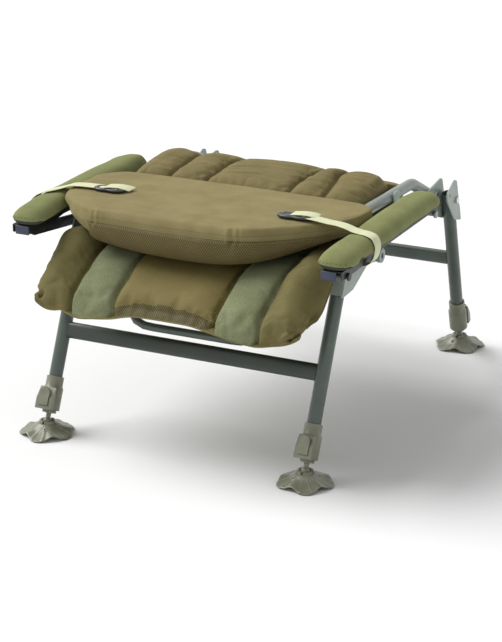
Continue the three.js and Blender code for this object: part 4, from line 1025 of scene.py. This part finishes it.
def pad_skin(u, v, side):
    """The back cushion lies between the tubes, laps over the left one and falls away to the hinge."""
    along = (v + 1) / 2
    y = mix(PAD_FRONT, PAD_REAR, along)
    x = mix(through(PAD_LEFT_LINE, y), through(PAD_RIGHT_LINE, y), (u + 1) / 2)
    fall = smooth(62, 150, y)
    over_tube = smooth(205, 220, -x)
    seam = PAD_SEAM_LEVEL + over_tube * 10 - 20 * fall * (1 - over_tube * 0.3)
    up = PAD_RISE * (1 - 0.35 * fall) - over_tube * 8
    down = PAD_DROP * (1 - 0.9 * fall) * (1 - over_tube) + over_tube * 1.6
    full = fullness(u, 9) * fullness(v, 14)
    return np.stack([x, y, seam + (up if side > 0 else -down) * full], axis=-1)


def pad_sewn_down(made):
    """Sewn down at its rim and along its four seams."""
    points, side = corners(made), share(made, "skin_side")
    u, v = share(made, "share_u"), share(made, "share_v")
    held = 1 - fullness(u, 26) * fullness(v, 26)
    for line in PAD_SEAM_LINES:
        held = np.maximum(held, dip(points[:, 0] - through(line, points[:, 1]), 5))
    return np.where(side < 0, 1, held)


def make_back_pad():
    pad = sewn("back_pad_cover", 111, 61, pad_skin, one_cloth, [PAD_CLOTH])
    stuffed(pad, pad_sewn_down, pressure=4, cap=5)
    refine(pad)
    points = corners(pad)
    x, y = points[:, 0], points[:, 1]
    edges = [through(line, y) for line in (PAD_LEFT_LINE, *PAD_SEAM_LINES, PAD_RIGHT_LINE)]
    lift = np.zeros(len(points))
    for left, right in zip(edges[:-1], edges[1:]):
        half = (right - left) / 2
        lift += 5.2 * dome(x - left - half, half)
    for seam_x in edges[1:-1]:
        away = x - seam_x
        lift -= 6.5 * dip(away, 3.6) + 2.5 * dip(away, 11)
        lift += 0.7 * np.sin(y / 5.5 + seam_x) * dip(np.abs(away) - 10, 7)
    upper = np.clip(share(pad, "skin_side"), 0, 1) * fullness(share(pad, "share_u"), 20)
    raised(pad, upper * (lift + creased(points, PAD_CREASES)))
    ride_and_replace(pad, "backrest", "khaki_cloth", "back_pad")


make_back_pad()

# ---------------------------------------------------------------- roll where the two cushions meet

ROLL_SEAMS = (-176, -70, 104, 142)
ROLL_HALF, ROLL_RISE, ROLL_BULGE = 210.5, 41, 71


def roll_skin(u, v, side):
    """A roll that is flat where it meets the cushions and bulges to the rear."""
    out = ROLL_BULGE * fullness(u, 8) * fullness(v, 2) if side > 0 else np.zeros_like(u)
    return np.stack([ROLL_HALF * u, FOLD_PLANE + 0.5 + out, SEAT_HEIGHT + ROLL_RISE * v], axis=-1)


def make_fold_roll():
    roll = sewn("fold_roll_cover", 84, 30, roll_skin, one_cloth, [PAD_CLOTH])
    refine(roll)
    upper = np.clip(share(roll, "skin_side"), 0, 1) * fullness(share(roll, "share_v"), 6)
    x = corners(roll)[:, 0]
    points = raised(roll, -6 * upper * sum(dip(x - seam_x, 6) for seam_x in ROLL_SEAMS))
    points[:, 1] = np.maximum(points[:, 1], FOLD_PLANE + 0.5)
    move_to(roll, points)
    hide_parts("fold_roll")
    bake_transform(roll)


make_fold_roll()

# ---------------------------------------------------------------- armrest covers

ARM_FRONT, ARM_REAR = -380, 63
ARM_CROWN = 34                    # height of the cover over its base
ARM_NOSE_ROUNDING = 17
# The left cover is out of true: pinched under its strap and at its inner rear, and bent at the nose.
LEFT_STRAP_PINCH, LEFT_REAR_PINCH, LEFT_NOSE_BEND = 5.5, 9, 7
ARM_TOP = [(0, 0.76), (0.06, 0.85), (0.16, 0.9), (0.4, 0.95), (0.7, 1.0), (0.9, 0.95), (1, 0.78)]


def arm_skin(hand):
    """The skin of one armrest cover; hand is -1 for the left and 1 for the right."""
    def skin(u, v, side):
        u = np.sin(u * math.pi / 2)
        stretched = 0.55 * v + 0.45 * np.sin(v * math.pi / 2)
        along = (stretched + 1) / 2
        y = mix(ARM_FRONT, ARM_REAR, along)
        tall = ARM_CROWN * through(ARM_TOP, along)
        nose = 1 - smooth(ARM_FRONT, ARM_FRONT + 56, y)
        y = y + ARM_NOSE_ROUNDING * (1 - fullness(u, 2.6)) * nose
        ends = fullness(stretched, 30)
        half = ARM_HALF * (1 - 0.12 * (1 - ends) - 0.2 * smooth(10, ARM_REAR, y) ** 2)
        rim = ARM_PAD_UNDER + tall * mix(0.27, 0.45, 1 - ends)
        rim -= 3 * (1 - smooth(ARM_FRONT, ARM_FRONT + 40, y))
        full = fullness(u, 2.7)
        x = half * u
        if side > 0:
            z = rim + (ARM_PAD_UNDER + tall - rim) * full * ends
        else:
            x = x * (1 - 0.36 * fullness(u, 4) * np.clip(1.4 - np.abs(u), 0, 1))
            z = rim - (rim - ARM_PAD_UNDER) * np.minimum(fullness(u, 3.4) * 1.05, 1) * ends
        pinch = LEFT_STRAP_PINCH * dip(y + 215, 75) + LEFT_REAR_PINCH * smooth(-50, 60, y)
        pressed = smooth(0, 1, -u * hand) * pinch * (hand < 0)
        bent = LEFT_NOSE_BEND * smooth(220, 380, -y) * (hand < 0)
        return np.stack([hand * ARM_X + x - pressed + bent, y, z], axis=-1)
    return skin


def arm_zone(hand, v, side, points):
    """The cover's dark binding on its under face and its rear end, and a dark oval patch in the same colour
    outside the right nose.
    """
    # A dark oval on the outer side of the right nose, drawn in the binding's colour.
    patch = np.hypot((points[..., 1] + 322) / 17, (points[..., 2] - 388) / 13) < 1
    patch &= (points[..., 0] > ARM_X + 18) & (hand > 0)
    return np.where((v > 0.955) | (side < 0) | patch, 1, 0)


def make_arm_cover(hand, name):
    cover = sewn(f"armrest_cover_{name}", 61, 221, arm_skin(hand),
                 lambda u, v, side, points: arm_zone(hand, v, side, points), [ARM_CLOTH, ARM_TRIM])
    x, y = corners(cover)[:, 0], corners(cover)[:, 1]
    slack = 0.45 * np.sin(y / 17 + np.sin(y / 41) * 2 + x / 30) - 1.1 * dip(y + 250, 14)
    rear_seam = 1.2 * dip(y - (ARM_REAR - 17), 1.6)
    points = raised(cover, np.clip(share(cover, "skin_side"), 0, 1) * slack - rear_seam)
    points[:, 2] = np.maximum(points[:, 2], ARM_PAD_UNDER)
    move_to(cover, points)
    return ride_and_replace(cover, f"armrest_{name}", "olive_cloth", f"armrest_pad_{name}")


def nose_stitches(cover, hand, name):
    """Two rows of stitches round the nose of an armrest cover, above its lower edge."""
    around = corners(cover)[(share(cover, "skin_side") > -0.5) & (share(cover, "share_v") < -0.8)]
    paths = []
    for level in (0.42, 0.56):
        height = ARM_PAD_UNDER + ARM_CROWN * 0.76 * level
        for step in np.linspace(-0.9, 0.9, 60)[:-1:2]:
            spots = []
            for place in (step, step + 0.011, step + 0.022):
                aim = np.array([hand * ARM_X + ARM_HALF * place, ARM_FRONT - 6, height])
                near = around[np.argmin(np.linalg.norm((around - aim) * [1, 0.6, 1.4], axis=1))]
                spots.append(near + np.array([0, -0.3, 0.1]))
            paths.append(np.array(spots))
    threads(f"armrest_nose_stitches_{name}", paths, radius=0.45, body=f"armrest_{name}")


NOSE_BLOCK_X = (281.6, 309)


def nose_block(hand, name):
    """A small moulded block under the nose of an armrest, with rounded edges."""
    near, far = sorted(hand * x for x in NOSE_BLOCK_X)
    low, high = np.array([near, -379.5, 372]), np.array([far, -376.3, 387.8])
    work = bmesh.new()
    bmesh.ops.create_cube(work, size=1)
    for vertex in work.verts:
        vertex.co = Vector(((np.array(vertex.co) + 0.5) * (high - low) + low) * MM)
    bmesh.ops.bevel(work, geom=work.edges[:], offset=1.2 * MM, segments=4, profile=0.5, affect="EDGES")
    block = new_piece(f"nose_block_{name}", [], [], [NAVY_BLOCK])
    work.to_mesh(block.data)
    work.free()
    block.data.polygons.foreach_set("use_smooth", [True] * len(block.data.polygons))
    ride_and_replace(block, f"armrest_{name}", "moulded_polymer")


# The tray's outline from the side as (y, z), front to rear.
ARM_TRAY = [(-374.5, 387.9), (-374.5, 374), (-371, 372), (-352, 371.8), (-310, 372.5), (-280, 376.5),
            (-258, 380), (20, 380.4), (38, 379), (46, 372), (56, 371.8), (60, 376), (60, 387.9)]
ARM_TRAY_WALL = 2.4


def make_arm_tray(hand, name):
    """The moulded tray under the armrest: two thin side walls and a top plate, shallow along its length
    and deep at its two pivots."""
    inner, outer = ARM_X - ARM_BASE_HALF + 0.2, ARM_X + ARM_BASE_HALF - 0.2
    count = len(ARM_TRAY)
    points, faces = [], []
    for near, far in ((inner, inner + ARM_TRAY_WALL), (outer - ARM_TRAY_WALL, outer)):
        start = len(points)
        points += [(hand * x, y, z) for x in (near, far) for y, z in ARM_TRAY]
        faces += [(start + k, start + (k + 1) % count, start + count + (k + 1) % count, start + count + k)
                  for k in range(count)]
        faces += [tuple(range(start, start + count))[::-1], tuple(range(start + count, start + 2 * count))]
    start = len(points)
    (front, top), rear = ARM_TRAY[0], ARM_TRAY[-1][0]
    under = top - ARM_TRAY_WALL
    points += [(hand * x, y, z) for x in (inner + ARM_TRAY_WALL, outer - ARM_TRAY_WALL)
               for y, z in ((front, under), (rear, under), (rear, top), (front, top))]
    faces += [tuple(start + k for k in face) for face in
              ((0, 1, 2, 3), (7, 6, 5, 4), (0, 4, 5, 1), (1, 5, 6, 2), (2, 6, 7, 3), (3, 7, 4, 0))]
    tray = new_piece(f"armrest_tray_{name}", points, faces, [BLACK_NYLON])
    shells_outward(tray)
    soften(tray, 0.6)
    ride_and_replace(tray, f"armrest_{name}", "black_nylon", f"armrest_base_{name}")


for arm_hand, arm_name in ((-1, "left"), (1, "right")):
    make_arm_tray(arm_hand, arm_name)
    nose_stitches(make_arm_cover(arm_hand, arm_name), arm_hand, arm_name)
    nose_block(arm_hand, arm_name)

# ---------------------------------------------------------------- holding straps and their buckles

STRAP_HALF = 12.5
# Each strap's middle line, from its buckle over the armrest, down its outer side and in under the base.
STRAP_PATHS = {
    "left": [(-184, -231, 431.4), (-212, -228, 431), (-240, -227, 430.4), (-262, -229, 430),
             (-277, -233, 429), (-290, -241, 425), (-302, -251, 422.6), (-313, -261, 420.6),
             (-322, -269, 417), (-329.8, -277, 408), (-332.2, -283, 396), (-326, -286, 384),
             (-318.6, -286, 370.6), (-293, -286, 370.4)],
    "right": [(186, -238, 431.4), (210, -239, 430.2), (236, -241, 428), (256, -243, 427.4),
              (272, -246, 425.6), (286, -249, 422.6), (300, -252, 421.4), (314, -255, 421),
              (327, -258, 417), (333.6, -260, 407), (334, -262, 392), (328, -262, 378),
              (319, -262, 370.6), (293, -262, 370.4)],
}
BUCKLES = {"left": ((-232, -170), -231), "right": ((138, 204), -240)}
BUCKLE_BASE = 427.2
TAIL_PATHS = {
    "left": [(-206, -229, 434.2), (-195, -225, 434.6), (-184, -221, 434), (-172, -217, 431.6),
             (-163, -213, 428.4)],
    "right": [(166, -237, 433.4), (178, -235, 434.4), (190, -232, 434.3), (202, -229, 432.6),
              (210, -227, 430)],
}


def strap_band(name, path, thick, count=140, across=13):
    """A flat woven strap along a path, thick as tape, with its own flat coordinates."""
    line, run = even_path(path, count)
    ahead = unit(np.gradient(line, axis=0))
    wide = np.array([[0.0, 1.0, 0.0]]) / np.sqrt(np.clip(1 - ahead[:, 1:2] ** 2, 0.45, 1))
    up = unit(np.cross(ahead, wide))
    shares = np.linspace(-1, 1, across)
    edge = 0.5 * thick * (1 - 0.45 * np.abs(shares) ** 6)[None, :, None]
    spine = line[:, None, :] + wide[:, None, :] * (shares * STRAP_HALF)[None, :, None]
    points = np.concatenate([(spine + layer * up[:, None, :] * edge).reshape(-1, 3) for layer in (1, -1)])
    ids = np.arange(count * across).reshape(count, across)
    low = ids + count * across
    rim, under = (np.concatenate([t[0, :-1], t[:-1, -1], t[-1, :0:-1], t[:0:-1, 0]]) for t in (ids, low))
    walls = np.stack([rim, under, np.roll(under, -1), np.roll(rim, -1)], axis=-1)
    flat = np.stack(np.broadcast_arrays(run[:, None], (shares * STRAP_HALF)[None, :]), axis=-1).reshape(-1, 2)
    strap = new_piece(name, points, np.concatenate([quads(ids), quads(low)[:, ::-1], walls]).tolist(),
                      [STRAP_TAPE], np.tile(flat, (2, 1)))
    face_outward(strap)
    return strap


def buckle_skin(ends, middle_y):
    """A flat lens with a slight waist, lying on the pillow."""
    def skin(u, v, side):
        x = mix(ends[0], ends[1], (u + 1) / 2)
        wide = 14.5 * fullness(u, 3.2) * (1 - 0.10 * dip(u, 0.25))
        rise = 2.4 + 3.4 * fullness(u, 4) * fullness(v, 4) if side > 0 else np.zeros_like(u)
        return np.stack([x, middle_y + wide * v, BUCKLE_BASE + 0.4 + rise], axis=-1)
    return skin


def make_buckle(name):
    """A flat moulded buckle: a lens of plastic with a raised rim, a tape slot and a small hole."""
    ends, middle_y = BUCKLES[name]
    buckle = sewn(f"strap_buckle_body_{name}", 61, 25, buckle_skin(ends, middle_y), one_cloth,
                  [BUCKLE_PLASTIC])
    points, u, v = corners(buckle), share(buckle, "share_u"), share(buckle, "share_v")
    upper = np.clip(share(buckle, "skin_side"), 0, 1) * fullness(u, 10) * fullness(v, 10)
    away = np.abs(u)
    slot = (1 - smooth(0.5, 0.62, np.abs(v))) * smooth(0.1, 0.16, away) * (1 - smooth(0.62, 0.7, away))
    points[:, 2] -= upper * (1.8 * slot + 3.0 * dip(u + 0.84, 0.045) * dip(v, 0.22))
    move_to(buckle, points)
    ride_and_replace(buckle, "backrest", "moulded_polymer", f"strap_buckle_{name}")


for strap_name in SIDES:
    make_buckle(strap_name)
    strap = strap_band(f"strap_tape_{strap_name}", STRAP_PATHS[strap_name], 1.5)
    ride_and_replace(strap, f"armrest_{strap_name}", "webbing", f"holding_strap_{strap_name}")
    tail = strap_band(f"strap_tail_{strap_name}", TAIL_PATHS[strap_name], 1.4, 40)
    ride_and_replace(tail, "backrest", "webbing")

# ---------------------------------------------------------------- seat sling under the cushion

SLING_FRONT, SLING_REAR = -128, 148
SLING_THICK = 1.4
SLING_ROWS = 48


def sling_section():
    """The sling's line from the outside of one rail, over it, along under the cushion, to the other."""
    outer = TUBE_RADIUS + 0.3 + SLING_THICK / 2
    low = SEAT_HEIGHT - 34 + SLING_THICK / 2
    lip = RAIL_X - outer - 21
    turns = np.linspace(-0.7, math.pi, 26)
    right = np.column_stack([RAIL_X + outer * np.cos(turns), SEAT_HEIGHT + outer * np.sin(turns)])
    shoulder = mix(right[-1], np.array([lip, low]), np.linspace(0, 1, 10)[1:, None])
    flat = np.column_stack([np.linspace(lip, -lip, 70)[1:-1], np.full(68, low)])
    half = np.concatenate([right, shoulder])
    return np.concatenate([half, flat, half[::-1] * np.array([-1, 1])])


def make_sling():
    section = sling_section()
    run = walked(section)
    rows = np.linspace(SLING_FRONT + 0.5, SLING_REAR - 0.5, SLING_ROWS)
    x, y = np.meshgrid(section[:, 0], rows)
    points = np.stack([x, y, np.broadcast_to(section[:, 1], x.shape)], axis=-1).reshape(-1, 3)
    flat = np.stack(np.meshgrid(run, rows), axis=-1).reshape(-1, 2)
    faces = quads(np.arange(x.size).reshape(x.shape)).tolist()
    sling = new_piece("sling_cloth", points, faces, [SLING_CLOTH], flat)
    thick = sling.modifiers.new("cloth_thickness", "SOLIDIFY")
    thick.thickness = SLING_THICK * MM
    thick.offset = 0
    keep_result(sling, thick)
    ride_and_replace(sling, "seat_frame", "khaki_cloth", "seat_sling")


make_sling()

# ---------------------------------------------------------------- swivel feet

# Each foot's side, its end of the chair, and the direction in degrees of one of its five lobes.
FOOT_SPOTS = {"front_left": (-1, -1, -83), "front_right": (1, -1, -64), "rear_left": (-1, 1, -30),
              "rear_right": (1, 1, -46)}
LEG_X, FOOT_Y = 257.5, 379
FOOT_SLOPE = [(12, 21.5), (17, 20.5), (20, 18.3), (24, 15), (29, 11.9), (35, 9.2), (42, 6.8), (48, 5.0),
              (53, 3.6)]                       # radius and height of the upper face
FOOT_INNER, FOOT_MARK, FOOT_OUTER = 12, 24, 51.6
FOOT_WALL = 2.8
GROUND = 0.1
FINGER = [(19.5, 9), (17, 13.5), (15.4, 18), (14.9, 22.5), (14.3, 25.2), (13.2, 25.6), (10.4, 25.6),
          (9.9, 22), (9.9, 9)]                 # radius and height round one quarter of the slotted ring


def foot_top(radius, turn, lobe_at):
    """Height of a foot's upper face: five lobes that touch the ground, with raised folds, a rib beside
    each fold, and a small round mark on each lobe."""
    wave = np.cos(5 * (turn - lobe_at))
    out = smooth(16, 50, radius)
    rib = dip(np.abs(np.sin(2.5 * (turn - lobe_at))) - 0.5, 0.10)
    z = through(FOOT_SLOPE, radius)
    z += out * (4.6 * np.clip(-wave, 0, 1) ** 1.6 - 1.3 * np.clip(wave, 0, 1) + 0.9 * rib)
    for spot in lobe_at + 0.25 + np.arange(5) * 2 * math.pi / 5:
        away = np.hypot(radius * np.cos(turn) - FOOT_MARK * math.cos(spot),
                        radius * np.sin(turn) - FOOT_MARK * math.sin(spot))
        z += 1.1 * dip(away - 2.6, 0.9) - 1.6 * dip(away, 1.7)
    return z


def foot_skirt(lobe_at):
    """The thin lobed skirt: an upper and a lower skin that meet at the rim."""
    turn, step = np.meshgrid(np.linspace(0, 2 * math.pi, 240, endpoint=False), np.linspace(0, 1, 44))
    reach = FOOT_OUTER - 3.6 * (1 - np.cos(5 * (turn - lobe_at)))
    radius = FOOT_INNER + (reach - FOOT_INNER) * step
    top = foot_top(radius, turn, lobe_at)
    under = np.maximum(top - FOOT_WALL, GROUND)
    middle, rim = (top + under) / 2, fullness(np.clip((step - 0.9) / 0.1, 0, 1), 2)
    points = [np.stack([radius * np.cos(turn), radius * np.sin(turn), np.maximum(z, GROUND)], axis=-1)
              for z in (middle + (top - middle) * rim, middle + (under - middle) * rim)]
    ids = np.arange(turn.size).reshape(turn.shape)
    low = ids + turn.size
    low[-1] = ids[-1]
    closing = np.stack([ids[0], np.roll(ids[0], -1), np.roll(low[0], -1), low[0]], axis=-1)
    faces = np.concatenate([quads(ids, True)[:, TURNED_OVER], quads(low, True)[:, [1, 2, 3, 0]], closing])
    return np.concatenate(points).reshape(-1, 3).tolist(), faces.tolist()


def foot_finger(start, quarter):
    """One of the four fingers of the slotted ring that holds the ball."""
    arc = np.radians(np.linspace(8, 82, 10) + 90 * quarter)
    points = [(r * math.cos(angle), r * math.sin(angle), z) for angle in arc for r, z in FINGER]
    ids = start + np.arange(len(points)).reshape(len(arc), -1)
    return points, quads(ids, True).tolist() + [ids[0][::-1].tolist(), ids[-1].tolist()]


def make_foot(corner, side, way, lobe_degrees):
    points, faces = foot_skirt(math.radians(lobe_degrees))
    for quarter in range(4):
        more_points, more_faces = foot_finger(len(points), quarter)
        points, faces = points + more_points, faces + more_faces
    placed = np.array(points) + np.array([side * LEG_X, way * FOOT_Y, 0])
    foot = new_piece(f"mud_foot_skirt_{corner}", placed, faces, [FOOT_POLYMER])
    foot.data.validate()
    shells_outward(foot, 50)
    ride_and_replace(foot, f"mud_foot_{corner}", "moulded_polymer", f"mud_foot_{corner}")


for foot_corner, foot_spot in FOOT_SPOTS.items():
    make_foot(foot_corner, *foot_spot)

# ---------------------------------------------------------------- light and floor

FLOOR_REACH, FLOOR_LEVEL = 9000, -0.5
FILL_STRENGTH = 0.44


def make_floor():
    """A pale matt floor that keeps the chair's shadow."""
    ends = [(x * FLOOR_REACH, y * FLOOR_REACH, FLOOR_LEVEL) for x, y in ((-1, -1), (1, -1), (1, 1), (-1, 1))]
    made, tree, shader = new_finish("pale_studio_floor")
    feed(tree, shader, {"Base Color": grey(0.96), "Roughness": 0.9, "Specular IOR Level": 0.0})
    new_piece("studio_floor", ends, [(0, 1, 2, 3)], [made])


def make_surroundings():
    """White to the camera, in reflections and through glass; a softer even light on everything else."""
    world = bpy.data.worlds.new("studio_white")
    bpy.context.scene.world = world
    world.use_nodes = True
    tree = world.node_tree
    tree.nodes.clear()
    path = add(tree, "ShaderNodeLightPath").outputs
    seen = path["Is Camera Ray"]
    for ray in ("Is Glossy Ray", "Is Transmission Ray"):
        seen = add(tree, "ShaderNodeMath", {0: seen, 1: path[ray]}, operation="MAXIMUM").outputs["Value"]
    fill, white = (add(tree, "ShaderNodeBackground", {"Color": grey(1.0), "Strength": strength})
                   for strength in (FILL_STRENGTH, 1.0))
    both = add(tree, "ShaderNodeMixShader", {"Fac": seen, 1: fill, 2: white})
    add(tree, "ShaderNodeOutputWorld", {"Surface": both})


def sunlight(name, direction, strength, spread):
    """A very soft light from far off, which falls evenly over the whole floor."""
    data = bpy.data.lights.new(name, "SUN")
    data.energy = strength
    data.angle = math.radians(spread)
    light = bpy.data.objects.new(name, data)
    light.rotation_euler = Vector(direction).to_track_quat("-Z", "Y").to_euler()
    bpy.context.collection.objects.link(light)


make_floor()
make_surroundings()
sunlight("left_key", (0.68, 0.03, -0.74), 2.85, 42)
